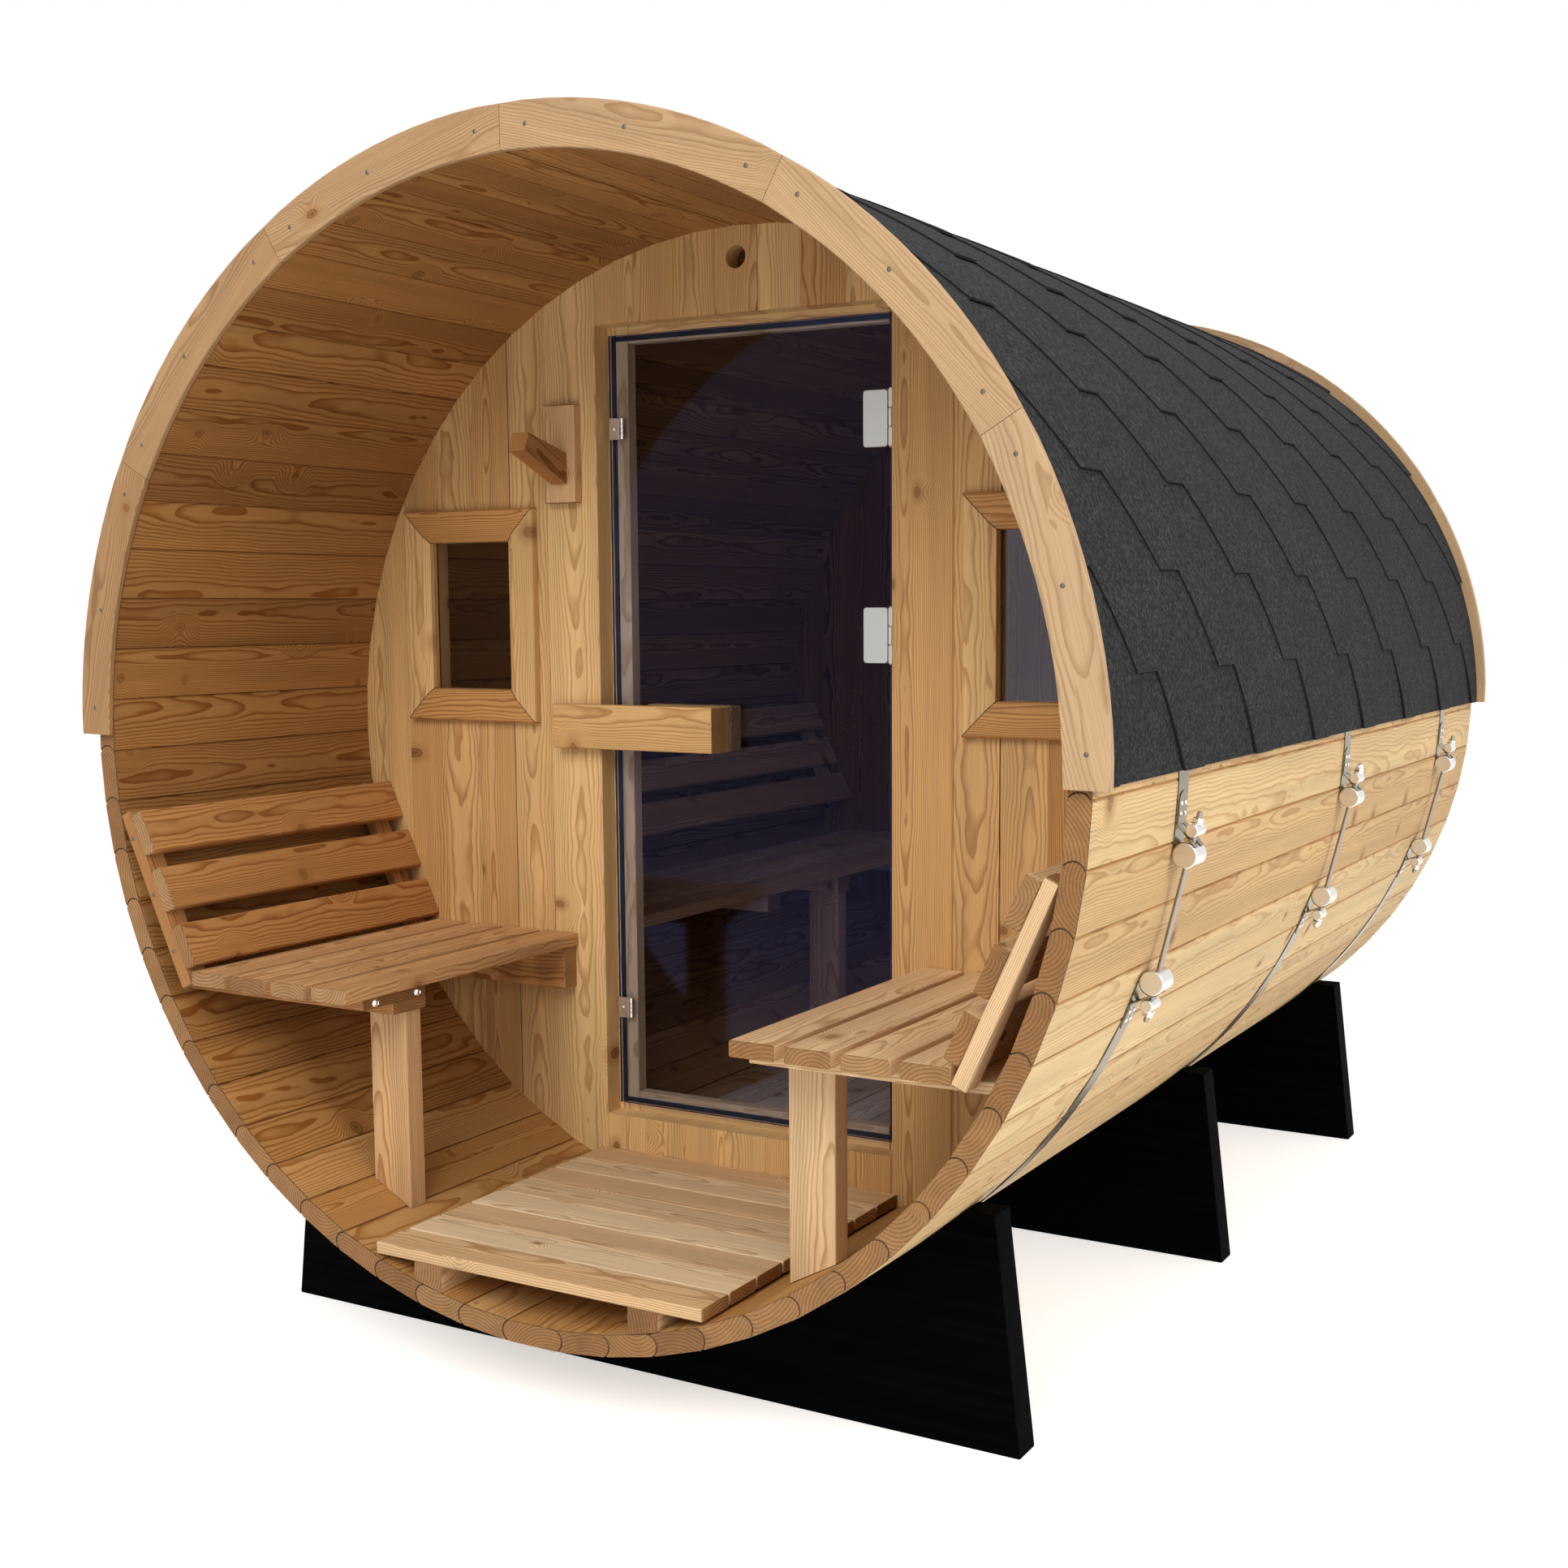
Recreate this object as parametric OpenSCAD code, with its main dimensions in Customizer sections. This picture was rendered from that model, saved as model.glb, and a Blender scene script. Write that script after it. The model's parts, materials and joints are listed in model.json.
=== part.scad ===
/* [Barrel] */
// Radius from the barrel's axis to the outer flat of a stave
barrel_r = 1000; // [950:5:1100]
// Length of the staves
barrel_l = 2668; // [2500:4:3200]
// Thickness of the staves
stave_t = 38; // [34:1:44]
// Number of staves, in nine zones of an odd count each
stave_count = 63; // [45:18:81]
// Radius of the bead along a stave's edge
bead_r = 20; // [19.5:0.5:30]
// Gap left between neighbouring staves
stave_gap = 0.4; // [0.3:0.1:0.8]
// Depth of the groove across the staves that houses an end wall
groove_d = 12; // [8:1:16]
// Height of the lowest stave above the ground
ground_gap = 128; // [110:1:180]

/* [Cradles] */
// How far a cradle's foot stands out beyond its horn
cradle_splay = 48; // [0:1:90]
// Height of a cradle's horns above the ground
cradle_h = 400; // [340:5:460]
// Length of the flat top of a horn
horn_l = 55; // [35:1:90]
// Thickness of a cradle
cradle_t = 61; // [45:1:80]
// Distance from the barrel's end to the outer face of an end cradle
cradle_inset = 252; // [180:2:300]

/* [Steel bands] */
// Width of a band
band_w = 45; // [30:1:60]
// Thickness of a band
band_t = 1.2; // [0.8:0.1:2]
// Distance of the front band's middle from the barrel's front end
band_front_y = 382; // [360:1:460]
// Distance of the middle band's middle behind the barrel's middle
band_middle_off = 58; // [56:1:160]
// Distance of the rear band's middle from the barrel's rear end
band_rear_inset = 368; // [345:1:460]
// Depth of the tension rod's middle below the barrel's axis
rod_drop = 243; // [225:1:265]
// Distance between the axes of the two trunnions
rod_span = 212; // [190:1:240]
// Diameter of the trunnion that a band's end is looped round
trunnion_d = 40; // [30:1:42]
// Length of a trunnion
trunnion_l = 50; // [40:1:70]
// Diameter of the roller that a nut bears on
roller_d = 21; // [16:1:24]
// Length of a roller
roller_l = 42; // [30:1:50]
// Diameter of the tension rod
rod_d = 10; // [8:1:12]
// Length of rod that stands out beyond a trunnion's axis
rod_end = 70; // [60:1:72]
// Length of the tongue where a band's end is fastened back to the band
tongue_l = 52; // [30:1:56]
// Distance of the tongue's start beyond the trunnion's edge
tongue_gap = 6; // [4:0.5:12]
// Gap between a trunnion and its roller
roller_gap = 9.5; // [5:0.5:12]
// Play of the rod in the slots of a band's ends
slot_play = 3; // [2:0.5:6]

/* [Arch trims] */
// How far a trim's inner edge stands inside the staves
trim_lap = 2; // [0:0.5:30]
// Width of a trim
trim_w = 74; // [66:1:90]
// Thickness of a trim
trim_t = 12; // [10:1:30]
// Number of boards in a trim
trim_boards = 6; // [4:1:8]

/* [Roof] */
// Thickness of the shingle skin
roof_t = 8; // [4:0.5:14]
// How far the skin reaches below the barrel's axis on each side
roof_drop = 14; // [0:1:20]

/* [End walls] */
// Depth of the porch, from the barrel's front end to the front wall
porch_d = 680; // [640:2:760]
// Distance of the rear wall from the barrel's rear end
rear_inset = 80; // [50:1:120]
// Thickness of an end wall
wall_t = 45; // [38:1:60]
// Play between a wall's round edge and the bottom of its groove
wall_play = 2; // [1:0.5:4]
// Diameter of the vent hole over the door
vent_d = 43; // [30:1:50]
// Distance of the vent hole's middle below the highest stave
vent_drop = 56; // [52:1:82]

/* [Doorway] */
// Width of the doorway between its posts
door_w = 666; // [620:2:680]
// Height of the wall over the doorway
head_h = 160; // [132:1:182]
// Height of the wall under the doorway
sill_h = 162; // [147:1:192]
// Width of a door post
post_w = 127; // [110:1:140]
// How far the stop boards reach into the doorway
stop_lap = 43; // [30:1:55]
// Width of the stops' boards
stop_w = 83; // [60:1:100]

/* [Door] */
// Thickness of the door's glass
glass_t = 8; // [6:0.5:10]
// Gap between the glass and the left post
glass_side_gap = 11; // [7:0.5:20]
// Gap between the glass and the head and sill
glass_end_gap = 18; // [8:0.5:24]
// Gap between the glass and the stop boards behind it
glass_stop_gap = 5; // [5:0.5:8]
// Distance of the hinge axis from the right post
hinge_side = 11; // [10:0.5:14]
// Distance of the glass's edge from the hinge axis
glass_hinge_gap = 2; // [1:0.5:4]
// Distance of the hinge axis in front of the glass
hinge_front = 12; // [11:0.5:14]
// Radius of a hinge's knuckles
knuckle_r = 7; // [6:0.5:8]
// Radius of a hinge's pin
pin_r = 4; // [3:0.5:5]
// Height of a hinge
hinge_h = 105; // [80:1:130]
// Width of a hinge's plate on the glass
hinge_plate_w = 60; // [35:1:70]
// Thickness of a hinge's plate on the glass
hinge_plate_t = 5; // [3:0.5:6]
// Distance of the outer hinges' middles from the glass's ends
hinge_inset = 192; // [140:1:230]
// Distance between the upper and the middle hinge
hinge_step = 400; // [340:1:480]
// Width and height of a catch plate at the glass's free edge
catch_size = [25, 43]; // [10:1:60]
// Thickness of a catch plate
catch_t = 3; // [2:0.5:5]
// Distance of the upper catch plate's middle from the glass's top
catch_top_inset = 183; // [140:1:230]
// Distance of the lower catch plate's middle from the glass's foot
catch_low_inset = 203; // [140:1:240]

/* [Door handle] */
// Length of the handle's front board
handle_l = 386; // [340:2:420]
// Height of the handle
handle_h = 90; // [70:1:110]
// Thickness of the handle's front board
handle_t = 27; // [20:1:28]
// Depth of the finger gap between the front board and the glass
finger_d = 37; // [36:1:44]
// Length of the block that carries the front board
handle_block_l = 160; // [120:2:200]
// Distance of the handle's right end from the door's middle
handle_end_x = 45; // [20:1:80]
// Length of the grip on the inside
inner_grip_l = 200; // [140:2:220]
// Depth of the grip on the inside
inner_grip_d = 37; // [28:1:44]
// Height of the handle's middle above the barrel's axis
handle_z = 6; // [-40:1:60]

/* [Windows] */
// Gap between a door post and a window's trim
window_side = 25; // [14:1:44]
// Gap between the upper outer corner of a window's trim and the staves
window_edge = 22; // [16:1:50]
// Height of a window opening
window_h = 307; // [260:1:310]
// Height of a window opening's foot above the barrel's axis
window_z = 75; // [40:1:78]
// Width of the trim boards round a window
window_trim_w = 66; // [50:1:68]
// Thickness of the trim boards round a window
window_trim_t = 20; // [14:1:26]
// Width of the slope along a trim board's inner edge
window_slope_w = 15; // [8:1:24]
// Thickness of a window's glass
window_glass_t = 6; // [4:0.5:10]
// Distance of a window's glass behind the wall's front face
window_recess = 8; // [4:0.5:20]

/* [Benches] */
// Height of the seat's top above the walking surface
seat_h = 447; // [422:1:472]
// Distance of the seat's inner edge from the barrel's middle plane
seat_x = 400; // [390:1:420]
// Gap between the seat's outer edge and the staves
seat_edge = 80; // [72:1:110]
// Thickness of a slat
slat_t = 27; // [20:1:32]
// Gap between the slats of a seat
slat_gap = 17; // [8:1:20]
// Number of slats in a seat
seat_slats = 4; // [3:1:4]
// Gap between the slats of a backrest
back_gap = 31; // [20:1:34]
// Number of slats in a backrest
back_slats = 3; // [2:1:3]
// Gap between the seat and the backrest's lowest slat
back_rise = 2; // [1:0.5:12]
// How far a backrest's battens stand above its highest slat
back_over = 10; // [4:1:20]
// Lean of a backrest from the vertical
back_lean = 24.7; // [15:0.1:28]
// Width of a backrest's battens
back_batten_w = 45; // [30:1:60]
// Height that the cabin bench's backrest is set above its seat
cabin_back_lift = 86; // [40:1:100]
// Distance of a batten from the rear end of the backrest
batten_inset = 18; // [0:1:120]
// Height of the bearers under a seat
bearer_h = 42; // [30:1:60]
// Width of the bearers under a seat
bearer_w = 60; // [45:1:70]
// Width of the porch bearer
porch_bearer_w = 88; // [60:1:110]
// Width of the ledge on top of the porch bearer
ledge_w = 165; // [120:1:190]
// Thickness of the ledge on top of the porch bearer
ledge_t = 20; // [12:1:25]
// How far a bearer's end is set back from the seat's inner edge
bearer_set = 6; // [2:1:20]
// How far a leg is set back from its bearer's end
leg_set = 5; // [0:1:20]
// Height of the cleats on the end walls
cleat_h = 85; // [60:1:110]
// Width of the cleats on the end walls
cleat_w = 40; // [27:1:50]
// Width of a bench's leg
leg_w = 88; // [70:1:100]
// Thickness of a bench's leg
leg_t = 42; // [30:1:50]
// Distance of the porch bearer's back face behind the slats' front ends
porch_bearer_y = 216; // [200:1:260]
// Distance of the porch leg's middle behind the slats' front ends
porch_leg_y = 186; // [170:1:230]
// Distance of the cabin bench's first bearer from the front wall
cabin_bearer_y = 755; // [575:1:875]
// Distance of the cabin bench's second bearer, on its leg, from the front wall
cabin_leg_y = 1105; // [975:1:1275]

/* [Duckboards] */
// Height of the walking surface above the lowest stave
floor_h = 90; // [86:1:112]
// Gap between a duckboard's edge and the staves
floor_edge = 10; // [6:1:40]
// Thickness of the duckboards' boards
floor_t = 22; // [18:1:24]
// Number of boards across the porch
porch_boards = 8; // [6:1:9]
// Number of boards across the cabin
cabin_boards = 7; // [5:1:8]
// Gap between the boards
board_gap = 5; // [3:0.5:12]
// Width of the battens under the boards
floor_batten_w = 60; // [45:1:80]
// Distance of the porch battens' outer faces from the middle plane
floor_batten_x = 258; // [220:1:270]
// Number of battens under the cabin's boards
cabin_battens = 4; // [3:1:6]

/* [Coat hook] */
// Width, height and thickness of the hook's back plate
hook_plate = [78, 194, 22]; // [15:1:260]
// Distance of the plate's middle from the middle plane
hook_x = 409; // [390:1:420]
// Distance of the plate's top below the doorway's top
hook_drop = 153; // [110:1:156]
// Width of the peg
peg_w = 40; // [25:1:60]
// How far the peg stands out from its plate
peg_l = 122; // [80:1:150]
// Height of the peg's lower edge above the plate's foot
peg_foot = 37; // [20:1:60]
// Height of the peg where it meets the plate
peg_root_h = 62; // [40:1:90]
// Height that the peg climbs along its length
peg_rise = 76; // [30:1:90]
// Height of the peg at its tip
peg_tip_h = 36; // [20:1:50]

/* [Clearances] */
// Gap between pieces that are set against each other
seat_gap = 0.3; // [0.2:0.1:0.6]
// Running gap round a hinge's pin and between its knuckles
hinge_gap = 0.3; // [0.2:0.1:0.6]

/* [Hidden] */
large_fn = 240;
small_fn = 48;
over = 50;
zone_count = 9;
// Staves
pitch = 360 / stave_count;
zone_staves = stave_count / zone_count;
last_stave = (stave_count - 1) / 2;
barrel_in = barrel_r - stave_t;
stave_mid = barrel_r - stave_t / 2;
stave_half = stave_mid * tan(pitch / 2);
bead_c = sqrt(bead_r * bead_r - stave_t * stave_t / 4);
corner_r = barrel_r / cos(pitch / 2);
axis_h = barrel_r + ground_gap;
front_y = -barrel_l / 2;
rear_y = barrel_l / 2;
// Cradles
cradle_r = corner_r + seat_gap;
horn_in = sqrt(cradle_r * cradle_r - pow(axis_h - cradle_h, 2));
horn_out = horn_in + horn_l;
foot_half = horn_out + cradle_splay;
// Bands, with the loop round a trunnion and the tongue laid back on the band
band_r = corner_r + seat_gap;
band_out = band_r + band_t;
loop_in = trunnion_d / 2 + seat_gap;
loop_out = loop_in + band_t;
trunnion_c = band_r + band_t / 2 + loop_out;
half_chord = rod_span / 2;
half_span_a = asin(half_chord / trunnion_c);
rod_r = trunnion_c * cos(half_span_a);
rod_a = -asin(rod_drop / rod_r);
trunnion_hi_a = rod_a + half_span_a;
trunnion_lo_a = rod_a - half_span_a;
roller_off = trunnion_d / 2 + roller_d / 2 + roller_gap;
slot_w = rod_d + slot_play;
lap_inset = 0.5;
tongue_at = trunnion_d + tongue_gap;
band_turn = 180 / PI / band_r;
// Roof and trims
roof_r = band_out + seat_gap;
roof_drop_a = asin(roof_drop / roof_r);
trim_in_r = barrel_in - trim_lap;
// Walls
wall_r = barrel_in + groove_d - wall_play;
wall_y = front_y + porch_d;
wall_back = wall_y + wall_t;
rear_wall_back = rear_y - rear_inset;
rear_wall_y = rear_wall_back - wall_t;
post_in = door_w / 2;
post_out = post_in + post_w;
door_top = barrel_in - head_h;
door_foot = -barrel_in + sill_h;
vent_z = barrel_in - vent_drop;
// Windows
window_x = post_out + window_side + window_trim_w;
window_corner_z = window_z + window_h + window_trim_w;
window_corner_x = sqrt(pow(barrel_in - window_edge, 2) - pow(window_corner_z, 2));
window_w = window_corner_x - window_trim_w - window_x;
// Duckboards
floor_z = -barrel_in + floor_h;
floor_foot = floor_z - floor_t - seat_gap;
floor_half = sqrt(barrel_in * barrel_in - pow(floor_z - floor_t, 2)) - floor_edge;
// Benches
seat_z = floor_z + seat_h;
seat_w = sqrt(barrel_in * barrel_in - seat_z * seat_z) - seat_edge - seat_x;
slat_w = (seat_w - (seat_slats - 1) * slat_gap) / seat_slats;
bearer_z = seat_z - slat_t - seat_gap;
bearer_x = seat_x + bearer_set;
leg_x = bearer_x + leg_set;
back_x = seat_x + seat_w + seat_gap + slat_t * tan(back_lean);
back_l = back_slats * slat_w + (back_slats - 1) * back_gap;
stop_t = slat_t;
porch_end = porch_d - seat_gap;
cabin_wall = porch_d + wall_t + seat_gap;
cabin_start = cabin_wall + stop_t;
cabin_end = barrel_l - rear_inset - wall_t - seat_gap;
// Door
stop_y = wall_back + seat_gap;
glass_back = stop_y - glass_stop_gap;
glass_y = glass_back - glass_t;
glass_left = -post_in + glass_side_gap;
hinge_x = post_in - hinge_side;
glass_right = hinge_x - glass_hinge_gap;
glass_top = door_top - glass_end_gap;
glass_foot = door_foot + glass_end_gap;
hinge_y = glass_y - hinge_front;
hinge_top_z = glass_top - hinge_inset;
hinge_zs = [hinge_top_z, hinge_top_z - hinge_step, glass_foot + hinge_inset];
knuckle_h = hinge_h / 3;

// Moves a piece from the barrel's axis to its place above the ground
module on_axis() {
    translate([0, 0, axis_h]) children();
}

// Extrudes an outline drawn across the barrel from one distance along it to another
module along(y0, y1) {
    translate([0, y1, 0]) rotate([90, 0, 0]) linear_extrude(y1 - y0) children();
}

// A box given by its lowest and highest corners
module block(low, high) {
    translate(low) cube(high - low);
}

// The room inside the staves, less the gap at which pieces are fitted to them
module room(y0, y1) {
    room_r = (barrel_in - seat_gap) / cos(pitch / 2);
    along(y0, y1)
        polygon([for (k = [0 : stave_count - 1])
            room_r * [cos(-90 + (k + 0.5) * pitch), sin(-90 + (k + 0.5) * pitch)]]);
}

// Cradles
module cradle(y0) {
    color("#1c1c1e")
        along(y0, y0 + cradle_t)
            difference() {
                polygon([[-foot_half, 0], [foot_half, 0], [horn_out, cradle_h], [-horn_out, cradle_h]]);
                translate([0, axis_h]) circle(r = cradle_r, $fn = large_fn);
            }
}

module cradle_front() { cradle(front_y + cradle_inset); }
module cradle_middle() { cradle(-cradle_t / 2); }
module cradle_rear() { cradle(rear_y - cradle_inset - cradle_t); }

// Staves: flat boards with a bead on the edge nearer the top and a cove on the other
module stave_edge_bead(side) {
    intersection() {
        translate([stave_mid, side * (stave_half - bead_c)]) circle(r = bead_r, $fn = small_fn);
        translate([barrel_in, side > 0 ? stave_half - bead_c : -stave_half + bead_c - bead_r])
            square([stave_t, bead_r]);
    }
}

module stave_edge_cove(side) {
    rotate(side * pitch)
        translate([stave_mid, -side * (stave_half - bead_c)])
            circle(r = bead_r + stave_gap, $fn = small_fn);
}

module stave_section(bead_left, bead_right) {
    half_in = barrel_in * tan(pitch / 2) - stave_gap / 2;
    half_out = barrel_r * tan(pitch / 2) - stave_gap / 2;
    difference() {
        union() {
            polygon([
                [barrel_in, -half_in], [barrel_r, -half_out],
                [barrel_r, half_out], [barrel_in, half_in]
            ]);
            if (bead_left) stave_edge_bead(1);
            if (bead_right) stave_edge_bead(-1);
        }
        if (!bead_left) stave_edge_cove(1);
        if (!bead_right) stave_edge_cove(-1);
    }
}

module groove(y0) {
    block(
        [barrel_in - over, y0 - seat_gap, -2 * stave_half],
        [barrel_in + groove_d, y0 + wall_t + seat_gap, 2 * stave_half]
    );
}

module stave(k) {
    rotate([0, 90 - k * pitch, 0])
        difference() {
            along(front_y, rear_y) stave_section(k >= 0, k <= 0 && k > -last_stave);
            groove(wall_y);
            groove(rear_wall_y);
        }
}

module stave_zone(zone) {
    middle = zone * zone_staves;
    reach = (zone_staves - 1) / 2;
    color("#c79a63")
        on_axis()
            for (k = [middle - reach : middle + reach]) stave(k);
}

module staves_bottom() { stave_zone(0); }
module staves_low_right() { stave_zone(1); }
module staves_right() { stave_zone(2); }
module staves_high_right() { stave_zone(3); }
module staves_top_right() { stave_zone(4); }
module staves_top_left() { stave_zone(-4); }
module staves_high_left() { stave_zone(-3); }
module staves_left() { stave_zone(-2); }
module staves_low_left() { stave_zone(-1); }

// A curved strip about the barrel's axis, from angle a0 through a turn
module arc_strip(r0, thickness, a0, turn, y0, y1) {
    translate([0, y1, 0])
        rotate([90, 0, 0])
            rotate(a0)
                rotate_extrude(angle = turn, $fn = large_fn)
                    translate([r0, 0]) square([thickness, y1 - y0]);
}

// The slanted run of a band's end from its loop back to the band, drawn at the trunnion
module loop_return() {
    middle_r = loop_out - band_t / 2;
    run_t = 0.8 * band_t;
    band_sag = tongue_at * tongue_at / (2 * band_r);
    foot = [tongue_at, band_out + band_t / 2 - trunnion_c - band_sag];
    reach = norm(foot);
    touch_a = atan2(foot[1], foot[0]) + acos(middle_r / reach);
    translate(middle_r * [cos(touch_a), sin(touch_a)])
        rotate(touch_a - 90)
            translate([0, -run_t / 2])
                square([sqrt(reach * reach - middle_r * middle_r) + band_t, run_t]);
}

// Draws across the barrel at a trunnion, with X along the band away from the rod's middle
module at_trunnion(angle, side) {
    rotate(angle) translate([trunnion_c, 0]) rotate(side * 90) mirror([0, side > 0 ? 1 : 0]) children();
}

module band_loop(angle, side, y0, y1) {
    along(y0 + lap_inset, y1 - lap_inset)
        at_trunnion(angle, side) {
            difference() {
                circle(r = loop_out, $fn = small_fn);
                circle(r = loop_in, $fn = small_fn);
            }
            loop_return();
        }
    tongue_a = tongue_at * band_turn;
    tongue_turn = tongue_l * band_turn;
    arc_strip(
        band_out - band_t / 2, 1.5 * band_t,
        side > 0 ? angle + tongue_a : angle - tongue_a - tongue_turn, tongue_turn,
        y0 + 2 * lap_inset, y1 - 2 * lap_inset
    );
}

// Places what lies along the tension rod, with Z along it and its middle at the origin
module on_rod(y) {
    translate([0, y, 0]) rotate([0, -rod_a, 0]) translate([rod_r, 0, 0]) children();
}

module band(y) {
    color("#c8c8c4")
        on_axis()
            difference() {
                union() {
                    arc_strip(
                        band_r, band_t, trunnion_hi_a, 360 - 2 * half_span_a,
                        y - band_w / 2, y + band_w / 2
                    );
                    band_loop(trunnion_hi_a, 1, y - band_w / 2, y + band_w / 2);
                    band_loop(trunnion_lo_a, -1, y - band_w / 2, y + band_w / 2);
                }
                on_rod(y)
                    for (side = [0, 1])
                        mirror([0, 0, side])
                            block(
                                [-slot_w / 2, -slot_w / 2, half_chord - trunnion_d],
                                [slot_w, slot_w / 2, half_chord + rod_end]
                            );
            }
}

module band_front() { band(front_y + band_front_y); }
module band_middle() { band(band_middle_off); }
module band_rear() { band(rear_y - band_rear_inset); }

module cross_pin(d, l) {
    rotate([90, 0, 0]) cylinder(d = d, h = l, center = true, $fn = small_fn);
}

module tensioner(y) {
    color("#d6d7d8")
        on_axis()
            on_rod(y) {
                cylinder(d = rod_d, h = 2 * (half_chord + rod_end), center = true, $fn = small_fn);
                for (side = [-1, 1]) {
                    translate([0, 0, side * half_chord]) cross_pin(trunnion_d, trunnion_l);
                    translate([0, 0, side * (half_chord + roller_off)]) cross_pin(roller_d, roller_l);
                }
            }
}

module tensioner_front() { tensioner(front_y + band_front_y); }
module tensioner_middle() { tensioner(band_middle_off); }
module tensioner_rear() { tensioner(rear_y - band_rear_inset); }

// Roof skin and the arched trims that close its ends
module roof_shingles() {
    color("#2b2b2d")
        on_axis()
            arc_strip(
                roof_r, roof_t, -roof_drop_a, 180 + 2 * roof_drop_a,
                front_y + seat_gap, rear_y - seat_gap
            );
}

module arch_trim(y0) {
    step = 180 / trim_boards;
    gap_a = seat_gap / trim_in_r * 180 / PI;
    color("#b98a52")
        on_axis()
            for (i = [0 : trim_boards - 1])
                arc_strip(trim_in_r, trim_w, i * step + gap_a / 2, step - gap_a, y0, y0 + trim_t);
}

module arch_trim_front() { arch_trim(front_y - seat_gap - trim_t); }
module arch_trim_rear() { arch_trim(rear_y + seat_gap); }

// End walls
module wall_disc(y0) {
    along(y0, y0 + wall_t) circle(r = wall_r, $fn = large_fn);
}

module wall_part(low, high) {
    intersection() {
        wall_disc(wall_y);
        block([low[0], wall_y - over, low[1]], [high[0], wall_back + over, high[1]]);
    }
}

// The window opening on the right-hand side, grown by a margin
module window_box(y0, y1, margin) {
    block(
        [window_x - margin, y0, window_z - margin],
        [window_x + window_w + margin, y1, window_z + window_h + margin]
    );
}

module front_wall() {
    color("#c08c50")
        on_axis()
            difference() {
                wall_part([post_out + seat_gap / 2, -wall_r - over], [wall_r + over, wall_r + over]);
                window_box(wall_y - over, wall_back + over, 0);
            }
}

module door_post() {
    color("#cf9d60")
        on_axis()
            wall_part(
                [post_in, -wall_r - over],
                [post_out - seat_gap / 2, wall_r + over]
            );
}

module front_wall_right() { front_wall(); }
module front_wall_left() { mirror([1, 0, 0]) front_wall(); }
module door_post_right() { door_post(); }
module door_post_left() { mirror([1, 0, 0]) door_post(); }

module door_head() {
    inner = post_in - seat_gap;
    color("#c08c50")
        on_axis()
            difference() {
                wall_part([-inner, door_top], [inner, wall_r + over]);
                translate([0, wall_back + over, vent_z])
                    rotate([90, 0, 0]) cylinder(d = vent_d, h = wall_t + 2 * over, $fn = small_fn);
            }
}

module door_sill() {
    inner = post_in - seat_gap;
    color("#c08c50")
        on_axis() wall_part([-inner, -wall_r - over], [inner, door_foot]);
}

module rear_wall() {
    color("#c08c50")
        on_axis() wall_disc(rear_wall_y);
}

// Boards on the inside of the wall that the door's glass closes against
module door_stops() {
    inner = post_in - stop_lap;
    outer = inner + stop_w;
    top = door_top - stop_lap;
    foot = door_foot + stop_lap;
    stop_back = stop_y + stop_t;
    color("#b5885a")
        on_axis() {
            for (side = [0, 1])
                mirror([side, 0, 0])
                    block([inner, stop_y, foot - stop_w], [outer, stop_back, top + stop_w]);
            block([-inner + seat_gap, stop_y, top], [inner - seat_gap, stop_back, top + stop_w]);
            block([-inner + seat_gap, stop_y, foot - stop_w], [inner - seat_gap, stop_back, foot]);
        }
}

// Windows
module trim_board(length) {
    rotate([90, 0, 90])
        linear_extrude(length + 2 * window_trim_w)
            polygon([
                [0, 0], [window_trim_w, 0], [window_trim_w, window_trim_t - window_slope_w / 2],
                [window_trim_w - window_slope_w / 2, window_trim_t],
                [window_slope_w, window_trim_t], [0, window_trim_t - window_slope_w / 2]
            ]);
}

// A board along X with its inner edge on the X axis, cut to 45 degrees at both ends
module mitred_board(length) {
    half = seat_gap / 2;
    intersection() {
        translate([-window_trim_w, 0, 0]) trim_board(length);
        translate([0, 0, -over])
            linear_extrude(window_trim_t + 2 * over)
                polygon([
                    [half, 0], [length - half, 0],
                    [length + window_trim_w - half, window_trim_w], [half - window_trim_w, window_trim_w]
                ]);
    }
}

module window_trim() {
    color("#c4935a")
        on_axis()
            translate([window_x, wall_y - seat_gap, window_z])
                rotate([90, 0, 0]) {
                    translate([window_w, 0, 0]) rotate(180) mitred_board(window_w);
                    translate([0, window_h, 0]) mitred_board(window_w);
                    rotate(90) mitred_board(window_h);
                    translate([window_w, window_h, 0]) rotate(-90) mitred_board(window_h);
                }
}

module window_glass() {
    color("#33393a", 0.5)
        on_axis()
            window_box(wall_y + window_recess, wall_y + window_recess + window_glass_t, -seat_gap);
}

module window_trim_right() { window_trim(); }
module window_trim_left() { mirror([1, 0, 0]) window_trim(); }
module window_glass_right() { window_glass(); }
module window_glass_left() { mirror([1, 0, 0]) window_glass(); }

// Benches, drawn on the right-hand side, with y counted from the barrel's front end
module seat(y0, y1) {
    for (i = [0 : seat_slats - 1]) {
        x = seat_x + i * (slat_w + slat_gap);
        block([x, y0, seat_z - slat_t], [x + slat_w, y1, seat_z]);
    }
}

module backrest(y0, y1, lift, batten_foot) {
    intersection() {
        room(y0, y1);
        translate([back_x, 0, seat_z + lift])
            rotate([0, back_lean, 0]) {
                for (i = [0 : back_slats - 1]) {
                    z = back_rise + i * (slat_w + back_gap);
                    block([-slat_t - seat_gap, y0, z], [-seat_gap, y1, z + slat_w]);
                }
                for (y = [y0, y1 - batten_inset - back_batten_w])
                    block([0, y, batten_foot], [slat_t, y + back_batten_w, back_rise + back_l + back_over]);
            }
    }
}

module bearer(y) {
    intersection() {
        room(y - bearer_w, y + bearer_w);
        block([bearer_x, y - bearer_w / 2, bearer_z - bearer_h], [barrel_r, y + bearer_w / 2, bearer_z]);
    }
}

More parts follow.
